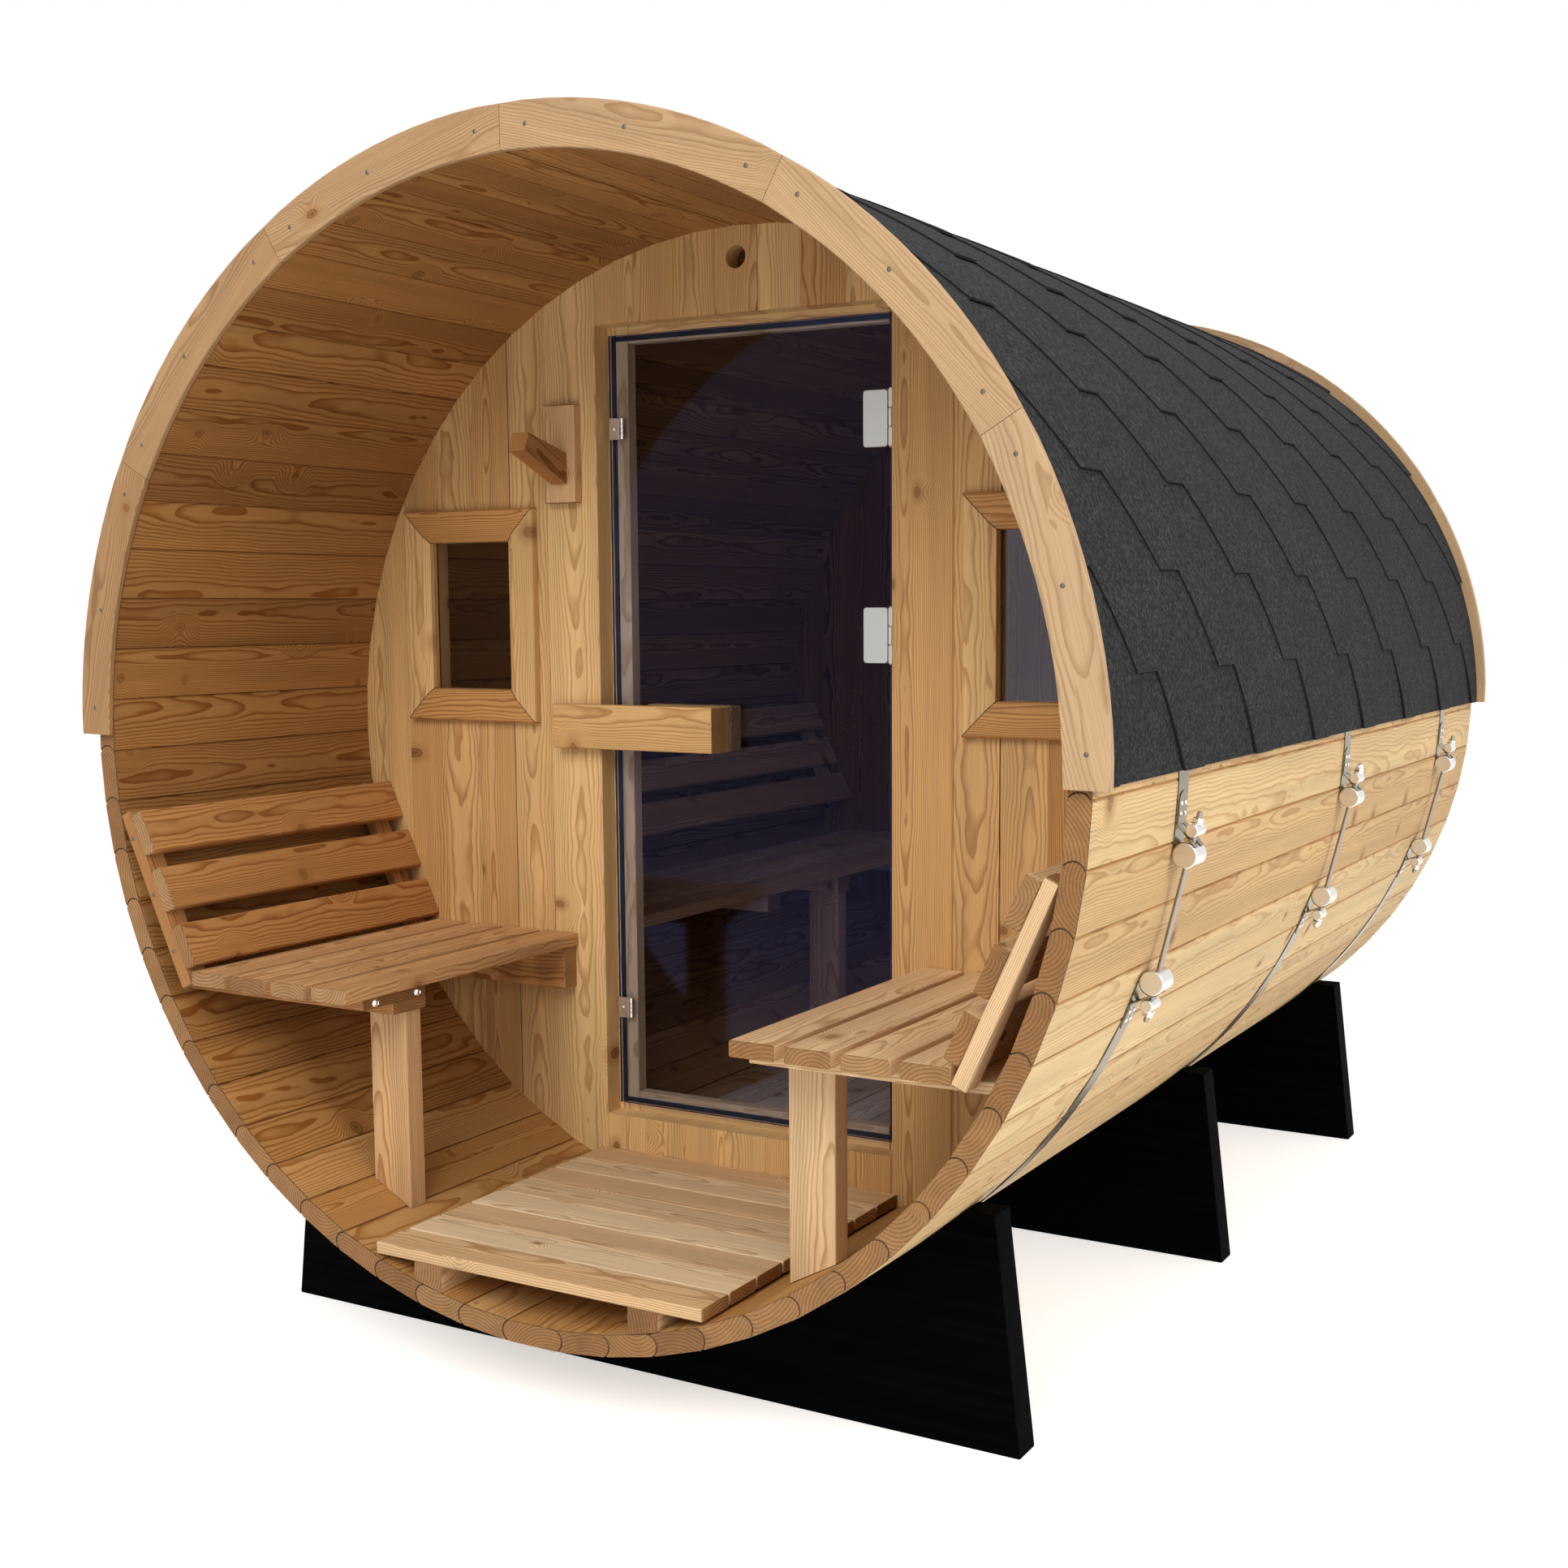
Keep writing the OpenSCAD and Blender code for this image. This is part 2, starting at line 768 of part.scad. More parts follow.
module porch_bearer() {
    intersection() {
        room(0, porch_end);
        union() {
            block(
                [bearer_x, porch_bearer_y - ledge_w, bearer_z - ledge_t],
                [barrel_r, porch_bearer_y, bearer_z]
            );
            block(
                [bearer_x, porch_bearer_y - porch_bearer_w, bearer_z - bearer_h],
                [barrel_r, porch_bearer_y, bearer_z - ledge_t]
            );
        }
    }
}

module cleat(y0, y1) {
    intersection() {
        room(y0, y1);
        block([bearer_x, y0, bearer_z - cleat_h], [barrel_r, y1, bearer_z]);
    }
}

module leg(y) {
    intersection() {
        room(y - leg_t, y + leg_t);
        block(
            [leg_x, y - leg_t / 2, -barrel_r],
            [leg_x + leg_w, y + leg_t / 2, bearer_z - bearer_h - seat_gap]
        );
    }
}

module porch_bench() {
    color("#a87443")
        on_axis()
            translate([0, front_y, 0]) {
                seat(0, porch_end);
                backrest(0, porch_end, 0, -slat_t);
                porch_bearer();
                leg(porch_leg_y);
                cleat(porch_end - cleat_w, porch_end);
            }
}

module porch_bench_right() { porch_bench(); }
module porch_bench_left() { mirror([1, 0, 0]) porch_bench(); }

module cabin_bench() {
    color("#a87443")
        on_axis()
            mirror([1, 0, 0])
                translate([0, front_y, 0]) {
                    seat(cabin_start, cabin_end);
                    backrest(cabin_start, cabin_end, cabin_back_lift, back_rise);
                    bearer(cabin_wall + cabin_bearer_y);
                    bearer(cabin_wall + cabin_leg_y);
                    leg(cabin_wall + cabin_leg_y);
                    cleat(cabin_wall, cabin_start + cleat_w);
                    cleat(cabin_end - cleat_w, cabin_end);
                }
}

// Duckboards
module porch_duckboard() {
    board_step = (porch_end + board_gap) / porch_boards;
    color("#cfa468")
        on_axis()
            translate([0, front_y, 0])
                intersection() {
                    room(0, porch_end);
                    union() {
                        for (i = [0 : porch_boards - 1])
                            block(
                                [-floor_half, i * board_step, floor_z - floor_t],
                                [floor_half, (i + 1) * board_step - board_gap, floor_z]
                            );
                        for (side = [0, 1])
                            mirror([side, 0, 0])
                                block(
                                    [floor_batten_x - floor_batten_w, 0, -barrel_r],
                                    [floor_batten_x, porch_end, floor_foot]
                                );
                    }
                }
}

module cabin_duckboard() {
    board_step = (2 * floor_half + board_gap) / cabin_boards;
    batten_step = (cabin_end - cabin_start - floor_batten_w) / (cabin_battens - 1);
    color("#cfa468")
        on_axis()
            translate([0, front_y, 0])
                intersection() {
                    room(cabin_start, cabin_end);
                    union() {
                        for (i = [0 : cabin_boards - 1])
                            block(
                                [-floor_half + i * board_step, cabin_start, floor_z - floor_t],
                                [-floor_half + (i + 1) * board_step - board_gap, cabin_end, floor_z]
                            );
                        for (i = [0 : cabin_battens - 1])
                            block(
                                [-barrel_r, cabin_start + i * batten_step, floor_foot - floor_t],
                                [barrel_r, cabin_start + i * batten_step + floor_batten_w, floor_foot]
                            );
                    }
                }
}

// Coat hook on the left door post
module coat_hook() {
    plate_front = wall_y - seat_gap - hook_plate[2];
    root_y = plate_front - seat_gap;
    color("#8f5f34")
        on_axis()
            translate([-hook_x, 0, door_top - hook_drop - hook_plate[1]]) {
                block(
                    [-hook_plate[0] / 2, plate_front, 0],
                    [hook_plate[0] / 2, plate_front + hook_plate[2], hook_plate[1]]
                );
                translate([-peg_w / 2, root_y, peg_foot])
                    rotate([90, 0, 90])
                        linear_extrude(peg_w)
                            polygon([
                                [0, 0], [0, peg_root_h],
                                [-peg_l, peg_rise + peg_tip_h / 2],
                                [-peg_l - peg_tip_h / 3, peg_rise - peg_tip_h / 2]
                            ]);
            }
}

// Hinges: the fixed leaves carry the pins, and the plates on the glass carry the middle knuckles
module at_hinges() {
    on_axis() for (z = hinge_zs) translate([hinge_x, hinge_y, z]) children();
}

module hinge_leaves() {
    color("#d9d9d9")
        at_hinges() {
            cylinder(r = pin_r, h = hinge_h, center = true, $fn = small_fn);
            for (side = [0, 1])
                mirror([0, 0, side]) {
                    translate([0, 0, knuckle_h / 2 + hinge_gap])
                        cylinder(r = knuckle_r, h = knuckle_h - hinge_gap, $fn = small_fn);
                    block(
                        [0, -knuckle_r, knuckle_h / 2 + hinge_gap],
                        [hinge_side - seat_gap, -knuckle_r + hinge_plate_t / 2, hinge_h / 2]
                    );
                }
        }
}

module door_hinges() {
    plate_right = glass_right - hinge_x - seat_gap;
    color("#d9d9d9")
        at_hinges() {
            difference() {
                union() {
                    cylinder(r = knuckle_r, h = knuckle_h, center = true, $fn = small_fn);
                    block(
                        [-knuckle_r - pin_r, hinge_front - seat_gap - hinge_plate_t, -knuckle_h / 2],
                        [plate_right, hinge_front - seat_gap, knuckle_h / 2]
                    );
                    block([-knuckle_r, 0, -knuckle_h / 2], [0, hinge_front - seat_gap, knuckle_h / 2]);
                }
                cylinder(r = pin_r + hinge_gap, h = hinge_h, center = true, $fn = small_fn);
            }
            block(
                [plate_right - hinge_plate_w, hinge_front - seat_gap - hinge_plate_t, -hinge_h / 2],
                [-knuckle_r - pin_r, hinge_front - seat_gap, hinge_h / 2]
            );
        }
}

// Door
module door_glass() {
    color("#33393a", 0.5)
        on_axis() block([glass_left, glass_y, glass_foot], [glass_right, glass_back, glass_top]);
}

module door_handle() {
    right = -handle_end_x;
    low = handle_z - handle_h / 2;
    high = handle_z + handle_h / 2;
    board_back = glass_y - finger_d;
    color("#cc9a5c")
        on_axis() {
            block([right - handle_l, board_back - handle_t, low], [right, board_back, high]);
            block([right - handle_block_l, board_back + seat_gap, low], [right, glass_y - seat_gap, high]);
            block(
                [right - inner_grip_l, glass_back + seat_gap, low],
                [right, glass_back + inner_grip_d, high]
            );
        }
}

module door_catches() {
    color("#d9d9d9")
        on_axis()
            for (z = [glass_top - catch_top_inset, glass_foot + catch_low_inset])
                block(
                    [glass_left, glass_y - seat_gap - catch_t, z - catch_size[1] / 2],
                    [glass_left + catch_size[0], glass_y - seat_gap, z + catch_size[1] / 2]
                );
}

cradle_front();
cradle_middle();
cradle_rear();
staves_bottom();
staves_low_right();
staves_right();
staves_high_right();
staves_top_right();
staves_top_left();
staves_high_left();
staves_left();
staves_low_left();
band_front();
band_middle();
band_rear();
tensioner_front();
tensioner_middle();
tensioner_rear();
roof_shingles();
arch_trim_front();
arch_trim_rear();
front_wall_left();
front_wall_right();
door_post_left();
door_post_right();
door_head();
door_sill();
door_stops();
hinge_leaves();
rear_wall();
window_trim_left();
window_trim_right();
window_glass_left();
window_glass_right();
porch_bench_left();
porch_bench_right();
porch_duckboard();
coat_hook();
cabin_bench();
cabin_duckboard();
door_glass();
door_handle();
door_hinges();
door_catches();
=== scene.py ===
"""Barrel sauna with an open porch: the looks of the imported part, in metres, with its front towards -Y."""
import json
import math
import random

import bmesh
import bpy
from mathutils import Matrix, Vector


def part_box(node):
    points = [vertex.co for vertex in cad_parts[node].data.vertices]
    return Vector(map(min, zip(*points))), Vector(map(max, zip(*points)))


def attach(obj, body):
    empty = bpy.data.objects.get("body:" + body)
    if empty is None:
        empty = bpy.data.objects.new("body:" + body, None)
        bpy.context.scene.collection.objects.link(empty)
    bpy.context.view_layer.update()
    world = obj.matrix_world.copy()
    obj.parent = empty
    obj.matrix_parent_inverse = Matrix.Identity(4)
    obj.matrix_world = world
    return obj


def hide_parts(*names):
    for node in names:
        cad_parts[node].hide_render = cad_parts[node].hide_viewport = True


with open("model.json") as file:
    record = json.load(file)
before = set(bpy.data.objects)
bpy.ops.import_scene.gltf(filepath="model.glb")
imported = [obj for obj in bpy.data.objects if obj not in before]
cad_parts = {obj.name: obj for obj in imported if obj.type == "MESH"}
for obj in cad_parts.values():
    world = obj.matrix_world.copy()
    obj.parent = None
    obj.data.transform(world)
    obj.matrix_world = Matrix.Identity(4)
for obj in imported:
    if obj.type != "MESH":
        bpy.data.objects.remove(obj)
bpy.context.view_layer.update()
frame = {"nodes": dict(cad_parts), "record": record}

X, Y, Z = Vector((1, 0, 0)), Vector((0, 1, 0)), Vector((0, 0, 1))

# The barrel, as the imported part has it
FRONT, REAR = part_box("staves_left")[0].y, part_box("staves_left")[1].y
AXIS_Z = (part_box("rear_wall")[0].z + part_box("rear_wall")[1].z) / 2
BARREL_R = 1.000
STAVE_T = 0.038
STAVE_COUNT = 63
STAVE_PITCH = math.tau / STAVE_COUNT
STAVE_GAP = 0.0004
BEAD_R = 0.020
BARREL_IN = BARREL_R - STAVE_T
ROOM_R = BARREL_IN - 0.0003
SEAT_GAP = 0.0003

# Camera fitted to the photograph, which is 1932 pixels square
PHOTO_PX = 1932
FOCAL_PX = 2329.93
PRINCIPAL_PX = (1035.5, 1014.0)
CAMERA_AT = (1.9612, -3.7755, 1.3756)
CAMERA_YAW, CAMERA_PITCH, CAMERA_ROLL = -0.5079, -0.1144, -0.0034
SENSOR_MM = 36.0


# Colours and nodes

def linear(code):
    """An sRGB hex colour as linear RGBA."""
    parts = [int(code[i:i + 2], 16) / 255 for i in (1, 3, 5)]
    return tuple(c / 12.92 if c <= 0.04045 else ((c + 0.055) / 1.055) ** 2.4 for c in parts) + (1.0,)


def set_inputs(tree, node, inputs):
    """Gives a node its inputs: values, or sockets or nodes to link."""
    for key, value in inputs.items():
        if isinstance(value, bpy.types.Node):
            value = value.outputs[0]
        if isinstance(value, bpy.types.NodeSocket):
            tree.links.new(value, node.inputs[key])
        else:
            node.inputs[key].default_value = value


def add_node(tree, kind, inputs=None, **settings):
    """Adds a shader node with its settings and inputs."""
    made = tree.nodes.new("ShaderNode" + kind)
    for name, value in settings.items():
        setattr(made, name, value)
    set_inputs(tree, made, inputs or {})
    return made


def new_material(name):
    """A material with an empty node tree, and its Principled shader linked to the output."""
    material = bpy.data.materials.new(name)
    material.use_nodes = True
    tree = material.node_tree
    tree.nodes.clear()
    shader = add_node(tree, "BsdfPrincipled")
    add_node(tree, "OutputMaterial", {"Surface": shader})
    return material, tree, shader


def set_ramp(ramp, stops):
    """Gives a colour ramp its stops, each a position and a hex colour."""
    elements = ramp.color_ramp.elements
    while len(elements) < len(stops):
        elements.new(0.5)
    for element, (position, code) in zip(elements, stops):
        element.position = position
        element.color = linear(code)


# Pine, sawn from round logs

KNOT_CELL = 0.16
KNOT_BULGE = 0.020
RING_WANDER = 0.012
END_RING = 0.006


def pine_knots(tree, grain, share):
    """Branches: some cells of the trunk, each 160 mm long, hold a knot that widens out from the pith.

    Gives the distance to the knot in its own radii, how much knot and halo show, and how far the rings bulge.
    """
    split = add_node(tree, "SeparateXYZ", {0: grain})
    turn = add_node(tree, "Math", {0: split.outputs["Z"], 1: split.outputs["Y"]}, operation="ARCTAN2")
    along = add_node(tree, "Math", {0: split.outputs["X"], 1: 1 / KNOT_CELL}, operation="MULTIPLY")
    around = add_node(tree, "Math", {0: turn, 1: 0.55}, operation="MULTIPLY")
    cell = add_node(tree, "CombineXYZ", {0: along, 1: around})
    branch = add_node(tree, "TexVoronoi", {"Vector": cell, "Scale": 1.0, "Randomness": 0.6},
                      voronoi_dimensions="2D")
    away = branch.outputs["Distance"]
    chance = add_node(tree, "SeparateColor", {0: branch.outputs["Color"]})
    there = add_node(tree, "Math", {0: chance, 1: share}, operation="LESS_THAN")
    size = add_node(tree, "MapRange", {"Value": chance.outputs[1], "To Min": 0.03, "To Max": 0.085})
    reach = add_node(tree, "Math", {0: away, 1: size}, operation="DIVIDE")
    core = add_node(tree, "MapRange", {"Value": reach, "From Min": 0.85, "From Max": 1.1, "To Min": 1.0,
                                       "To Max": 0.0}, interpolation_type="SMOOTHSTEP")
    strength = add_node(tree, "MapRange", {"Value": chance.outputs[2], "To Min": 0.45, "To Max": 0.95})
    core_mix = add_node(tree, "Math", {0: core, 1: strength}, operation="MULTIPLY")
    knot = add_node(tree, "Math", {0: core_mix, 1: there}, operation="MULTIPLY")
    glow = add_node(tree, "MapRange", {"Value": reach, "From Min": 0.9, "From Max": 3.0, "To Min": 0.5,
                                       "To Max": 0.0}, interpolation_type="SMOOTHSTEP")
    halo = add_node(tree, "Math", {0: glow, 1: there}, operation="MULTIPLY")
    swell = add_node(tree, "MapRange", {"Value": away, "From Min": 0.02, "From Max": 0.36,
                                        "To Min": KNOT_BULGE, "To Max": 0.0}, interpolation_type="SMOOTHSTEP")
    bulge = add_node(tree, "Math", {0: swell, 1: there}, operation="MULTIPLY")
    return reach, knot, halo, bulge


def pine_growth(tree, grain, bulge):
    """Distance from the pith, with knots and a slow wander of up to 12 mm along the trunk."""
    flat = add_node(tree, "VectorMath", {0: grain, 1: (0, 1, 1)}, operation="MULTIPLY")
    radius = add_node(tree, "VectorMath", {0: flat}, operation="LENGTH").outputs["Value"]
    slow_at = add_node(tree, "VectorMath", {0: grain, 1: (3.0, 7.0, 7.0)}, operation="MULTIPLY")
    slow = add_node(tree, "TexNoise", {"Vector": slow_at, "Scale": 1.0, "Detail": 3.0})
    wander = add_node(tree, "MapRange", {"Value": slow, "To Min": -RING_WANDER, "To Max": RING_WANDER})
    bent = add_node(tree, "Math", {0: radius, 1: bulge}, operation="ADD")
    return add_node(tree, "Math", {0: bent, 1: wander}, operation="ADD")


def pine_rings(tree, growth, spacing, stops):
    """Where in its year's growth a point lies, and a ramp over that."""
    years = add_node(tree, "Math", {0: growth, 1: 1 / spacing}, operation="MULTIPLY")
    season = add_node(tree, "Math", {0: years}, operation="FRACT")
    ramp = add_node(tree, "ValToRGB", {0: season})
    set_ramp(ramp, stops)
    return season, ramp


def pine_streaks(tree, grain, stretch, detail, low, high):
    """Noise drawn out along the grain, and the shade that it gives."""
    drawn = add_node(tree, "VectorMath", {0: grain, 1: stretch}, operation="MULTIPLY")
    noise = add_node(tree, "TexNoise", {"Vector": drawn, "Scale": 1.0, "Detail": detail})
    shade = add_node(tree, "MapRange", {"Value": noise, "From Min": 0.25, "From Max": 0.75, "To Min": low,
                                        "To Max": high})
    return noise, shade


def pine(name, early, late, sawn, knot_share, contrast, ring_mm=3.2):
    """Planed pine, sawn from a round log: rings cut as cathedrals on faces and as arcs on ends, with knots.

    Each board carries its own place in the log in "grain" (along, across and out from the pith, in metres).
    The rings of such pine are about 2 mm apart and are drawn wider so that they show.
    """
    material, tree, shader = new_material(name)
    grain = add_node(tree, "Attribute", attribute_name="grain").outputs["Vector"]
    tone = add_node(tree, "Attribute", attribute_name="tone").outputs["Fac"]
    end = add_node(tree, "Attribute", attribute_name="end_grain_and_shade").outputs["Fac"]
    reach, knot, halo, bulge = pine_knots(tree, grain, knot_share)
    growth = pine_growth(tree, grain, bulge)
    season, late_wood = pine_rings(tree, growth, ring_mm / 1000, (
        (0.0, "#000000"), (0.5, "#202020"), (0.86, "#ffffff"), (0.95, "#ffffff"), (1.0, "#000000")))
    depth = add_node(tree, "MapRange", {"Value": tone, "From Min": 0.3, "From Max": 0.9, "To Min": 1.0,
                                        "To Max": contrast})
    lines = add_node(tree, "Math", {0: late_wood, 1: depth}, operation="MULTIPLY")
    wood = add_node(tree, "Mix", {0: lines, 6: linear(early), 7: linear(late)}, data_type="RGBA")
    # Sawn ends: 1 to 2 is the end's own tone and 3 a chamfer darkened as painted shade; rings drawn 6 mm
    # apart so that they show
    _, sawn_wood = pine_rings(tree, growth, END_RING, (
        (0.0, sawn[0]), (0.4, sawn[0]), (0.8, sawn[1]), (0.95, sawn[1]), (1.0, sawn[0])))
    cut = add_node(tree, "Mix", {0: end, 6: wood.outputs[2], 7: sawn_wood}, data_type="RGBA")
    # Fibres, drawn 3 mm apart so that they show, and streaks of colour about 40 mm wide
    fibre, fibre_shade = pine_streaks(tree, grain, (7.0, 330.0, 330.0), 3.0, 0.88, 1.10)
    _, streak_shade = pine_streaks(tree, grain, (1.3, 26.0, 26.0), 2.0, 0.86, 1.12)
    face_tone = add_node(tree, "ValToRGB", {0: tone})
    set_ramp(face_tone, ((0.0, "#774c24"), (0.5, "#cfb08a"), (1.0, "#ffffff")))
    end_pick = add_node(tree, "Math", {0: end, 1: 1.0}, operation="SUBTRACT")
    end_tone = add_node(tree, "ValToRGB", {0: end_pick})
    set_ramp(end_tone, ((0.0, "#a98e70"), (0.35, "#cdb79b"), (1.0, "#e2d7c8")))
    # End value 3 darkens a chamfer: painted shade in a joint
    chamfer_shade = add_node(tree, "MapRange", {"Value": end, "From Min": 2.0, "From Max": 3.0, "To Min": 1.0,
                                       "To Max": 0.3})
    board_tone = add_node(tree, "Mix", {0: end, 6: face_tone, 7: end_tone}, data_type="RGBA")
    mottle = add_node(tree, "Math", {0: fibre_shade, 1: streak_shade}, operation="MULTIPLY")
    shade = add_node(tree, "Math", {0: mottle, 1: chamfer_shade}, operation="MULTIPLY")
    toned = add_node(tree, "Mix", {0: 1.0, 6: cut.outputs[2], 7: board_tone.outputs[2]}, data_type="RGBA",
                     blend_type="MULTIPLY")
    fibred = add_node(tree, "Mix", {0: 1.0, 6: toned.outputs[2], 7: shade}, data_type="RGBA",
                      blend_type="MULTIPLY")
    haloed = add_node(tree, "Mix", {0: halo, 6: fibred.outputs[2], 7: linear("#9c6a36")}, data_type="RGBA")
    knot_wood = add_node(tree, "ValToRGB", {0: reach})
    set_ramp(knot_wood, ((0.0, "#4f3018"), (0.22, "#7a4f29"), (0.7, "#91602f"), (0.9, "#5b371c"),
                         (1.0, "#6e4724")))
    colour = add_node(tree, "Mix", {0: knot, 6: haloed.outputs[2], 7: knot_wood}, data_type="RGBA")
    gloss = add_node(tree, "MapRange", {"Value": season, "To Min": 0.68, "To Max": 0.56})
    relief = add_node(tree, "Math", {0: season, 1: fibre}, operation="ADD")
    bump = add_node(tree, "Bump", {"Height": relief, "Strength": 0.2, "Distance": 0.0006})
    set_inputs(tree, shader, {"Base Color": colour.outputs[2], "Roughness": gloss, "Normal": bump,
                              "Specular IOR Level": 0.3})
    return material


# Other finishes

GRANULE = 0.005
GLUE_LINE = 0.045


def bitumen_shingle():
    """Bitumen felt strewn with slate granules: matt, near black, with a faint sparkle of grit.

    The granules are about 2 mm across and are drawn at 5 mm so that they show. They lie thicker and thinner
    in patches of about 170 mm.
    """
    material, tree, shader = new_material("granulated bitumen felt")
    place = add_node(tree, "TexCoord").outputs["Object"]
    grit = add_node(tree, "TexVoronoi", {"Vector": place, "Scale": 1 / GRANULE})
    patch = add_node(tree, "TexNoise", {"Vector": place, "Scale": 6.0, "Detail": 4.0})
    stone = add_node(tree, "SeparateColor", {0: grit.outputs["Color"]})
    cover = add_node(tree, "MapRange", {"Value": patch, "To Min": 0.38, "To Max": 0.62})
    mixed = add_node(tree, "Math", {0: stone, 1: cover}, operation="MULTIPLY")
    granules = add_node(tree, "ValToRGB", {0: mixed})
    set_ramp(granules, ((0.0, "#141415"), (0.25, "#242425"), (0.5, "#39393a"), (0.75, "#646466")))
    bump = add_node(tree, "Bump", {"Height": grit.outputs["Distance"], "Strength": 0.8, "Distance": 0.002})
    set_inputs(tree, shader, {"Base Color": granules, "Normal": bump, "Roughness": 0.92,
                              "Specular IOR Level": 0.2})
    return material


def dull_black(name, dark, light, scale, detail, rough):
    """Cut bitumen or extruded rubber: black, dull and soft to look at.

    The felt's cut edge is mottled by torn fibres about 3 mm long, and the rubber by dust in patches of 17 mm.
    """
    material, tree, shader = new_material(name)
    place = add_node(tree, "TexCoord").outputs["Object"]
    mottle = add_node(tree, "TexNoise", {"Vector": place, "Scale": scale, "Detail": detail})
    black = add_node(tree, "ValToRGB", {0: mottle})
    set_ramp(black, ((0.3, dark), (0.7, light)))
    set_inputs(tree, shader, {"Base Color": black, "Roughness": rough})
    return material


def stained_timber():
    """Glued pine boards under black stain: faint grain and glue lines 45 mm apart, with a low sheen.

    The grain runs in streaks about 500 mm long and 11 to 25 mm wide.
    """
    material, tree, shader = new_material("black stained glued timber")
    place = add_node(tree, "TexCoord").outputs["Object"]
    drawn = add_node(tree, "VectorMath", {0: place, 1: (2.0, 40.0, 90.0)}, operation="MULTIPLY")
    fibre = add_node(tree, "TexNoise", {"Vector": drawn, "Scale": 1.0, "Detail": 4.0})
    split = add_node(tree, "SeparateXYZ", {0: place})
    layer = add_node(tree, "Math", {0: split.outputs["Z"], 1: GLUE_LINE}, operation="DIVIDE")
    phase = add_node(tree, "Math", {0: layer}, operation="FRACT")
    glue = add_node(tree, "Math", {0: phase, 1: 0.04}, operation="LESS_THAN")
    stain = add_node(tree, "ValToRGB", {0: fibre})
    set_ramp(stain, ((0.3, "#010101"), (0.7, "#060606")))
    height = add_node(tree, "Math", {0: fibre, 1: glue}, operation="SUBTRACT")
    bump = add_node(tree, "Bump", {"Height": height, "Strength": 0.3, "Distance": 0.001})
    set_inputs(tree, shader, {"Base Color": stain, "Normal": bump, "Roughness": 0.7,
                              "Specular IOR Level": 0.015})
    return material


def brushed_steel(name, code, rough_low, rough_high, stretch, relief=0.06):
    """Steel, brushed or plated: fine lines or a fine mottle break up its reflections.

    The real lines and mottle are finer, and are drawn 2 to 3 mm apart so that they show.
    """
    material, tree, shader = new_material(name)
    place = add_node(tree, "TexCoord").outputs["Object"]
    drawn = add_node(tree, "VectorMath", {0: place, 1: stretch}, operation="MULTIPLY")
    lines = add_node(tree, "TexNoise", {"Vector": drawn, "Scale": 1.0, "Detail": 3.0})
    rough = add_node(tree, "MapRange", {"Value": lines, "To Min": rough_low, "To Max": rough_high})
    bump = add_node(tree, "Bump", {"Height": lines, "Strength": relief, "Distance": 0.0005})
    set_inputs(tree, shader, {"Base Color": linear(code), "Metallic": 1.0, "Roughness": rough,
                              "Normal": bump})
    return material


def smoked_glass(name, code, ior, gleam):
    """Grey-tinted toughened glass: clear and polished, with a cool gleam in its reflections.

    The rollers of the oven leave it faintly wavy, about every 330 mm.
    """
    material, tree, shader = new_material(name)
    place = add_node(tree, "TexCoord").outputs["Object"]
    wave = add_node(tree, "TexNoise", {"Vector": place, "Scale": 3.0})
    bump = add_node(tree, "Bump", {"Height": wave, "Strength": 0.004, "Distance": 0.001})
    set_inputs(tree, shader, {"Base Color": linear(code), "Transmission Weight": 1.0, "Roughness": 0.0,
                              "IOR": ior, "Specular Tint": linear(gleam), "Normal": bump})
    return material


SAWN_ENDS = ("#c4a075", "#a17b54")
STAVE_PINE = pine("planed pine staves", "#e7ca98", "#b38142", SAWN_ENDS, 0.32, 0.5, 3.8)
WALL_PINE = pine("planed pine wall boards", "#e2bb82", "#a5713a", SAWN_ENDS, 0.15, 0.58)
TRIM_PINE = pine("planed pine trim", "#c9ab85", "#a37f57", SAWN_ENDS, 0.14, 0.6)
BENCH_PINE = pine("planed pine bench slats", "#eac79a", "#b07f49", SAWN_ENDS, 0.22, 0.65)
DUCKBOARD_PINE = pine("planed pine duckboard", "#f3d8b0", "#b88f63", SAWN_ENDS, 0.2, 0.6)
SHINGLE = bitumen_shingle()
# The tabs' cut edges are bare bitumen, and their near black is also painted shade under the tabs
SHADED_CUT_BITUMEN = dull_black("cut bitumen", "#050505", "#121212", 300.0, 2.0, 0.95)
STAINED_TIMBER = stained_timber()
STAINLESS = brushed_steel("brushed stainless band", "#877f6c", 0.14, 0.3, (500.0, 500.0, 20.0))
SATIN_NICKEL = brushed_steel("satin nickel hinges", "#b4b3b0", 0.36, 0.46, (300.0, 300.0, 300.0), 0.01)
NICKEL = brushed_steel("nickel-plated steel", "#e6e3df", 0.2, 0.3, (300.0, 300.0, 300.0), 0.01)
DARK_STEEL = brushed_steel("dulled screw steel", "#6d655c", 0.35, 0.5, (400.0, 400.0, 400.0))
ROD_STEEL = brushed_steel("threaded steel rod", "#a39b92", 0.3, 0.42, (400.0, 400.0, 400.0))
DOOR_GLASS = smoked_glass("smoked door glass", "#d3daf4", 1.18, "#93a9ff")
WINDOW_GLASS = smoked_glass("smoked window glass", "#ececee", 1.5, "#e6ebff")
RUBBER = dull_black("black rubber seal", "#161718", "#26282a", 60.0, 3.0, 0.6)


# Meshes

SHARP_ANGLE = math.radians(40)


def skin(mesh, rings, capped=True):
    """Skins a body through rings of points; without caps the last ring joins the first."""
    rows = [[mesh.verts.new(point) for point in ring] for ring in rings]
    pairs = list(zip(rows, rows[1:]))
    if not capped:
        pairs.append((rows[-1], rows[0]))
    for near, far in pairs:
        for i in range(len(near)):
            j = (i + 1) % len(near)
            mesh.faces.new((near[i], near[j], far[j], far[i]))
    caps = [mesh.faces.new(rows[0][::-1]), mesh.faces.new(rows[-1])] if capped else []
    return rows, caps


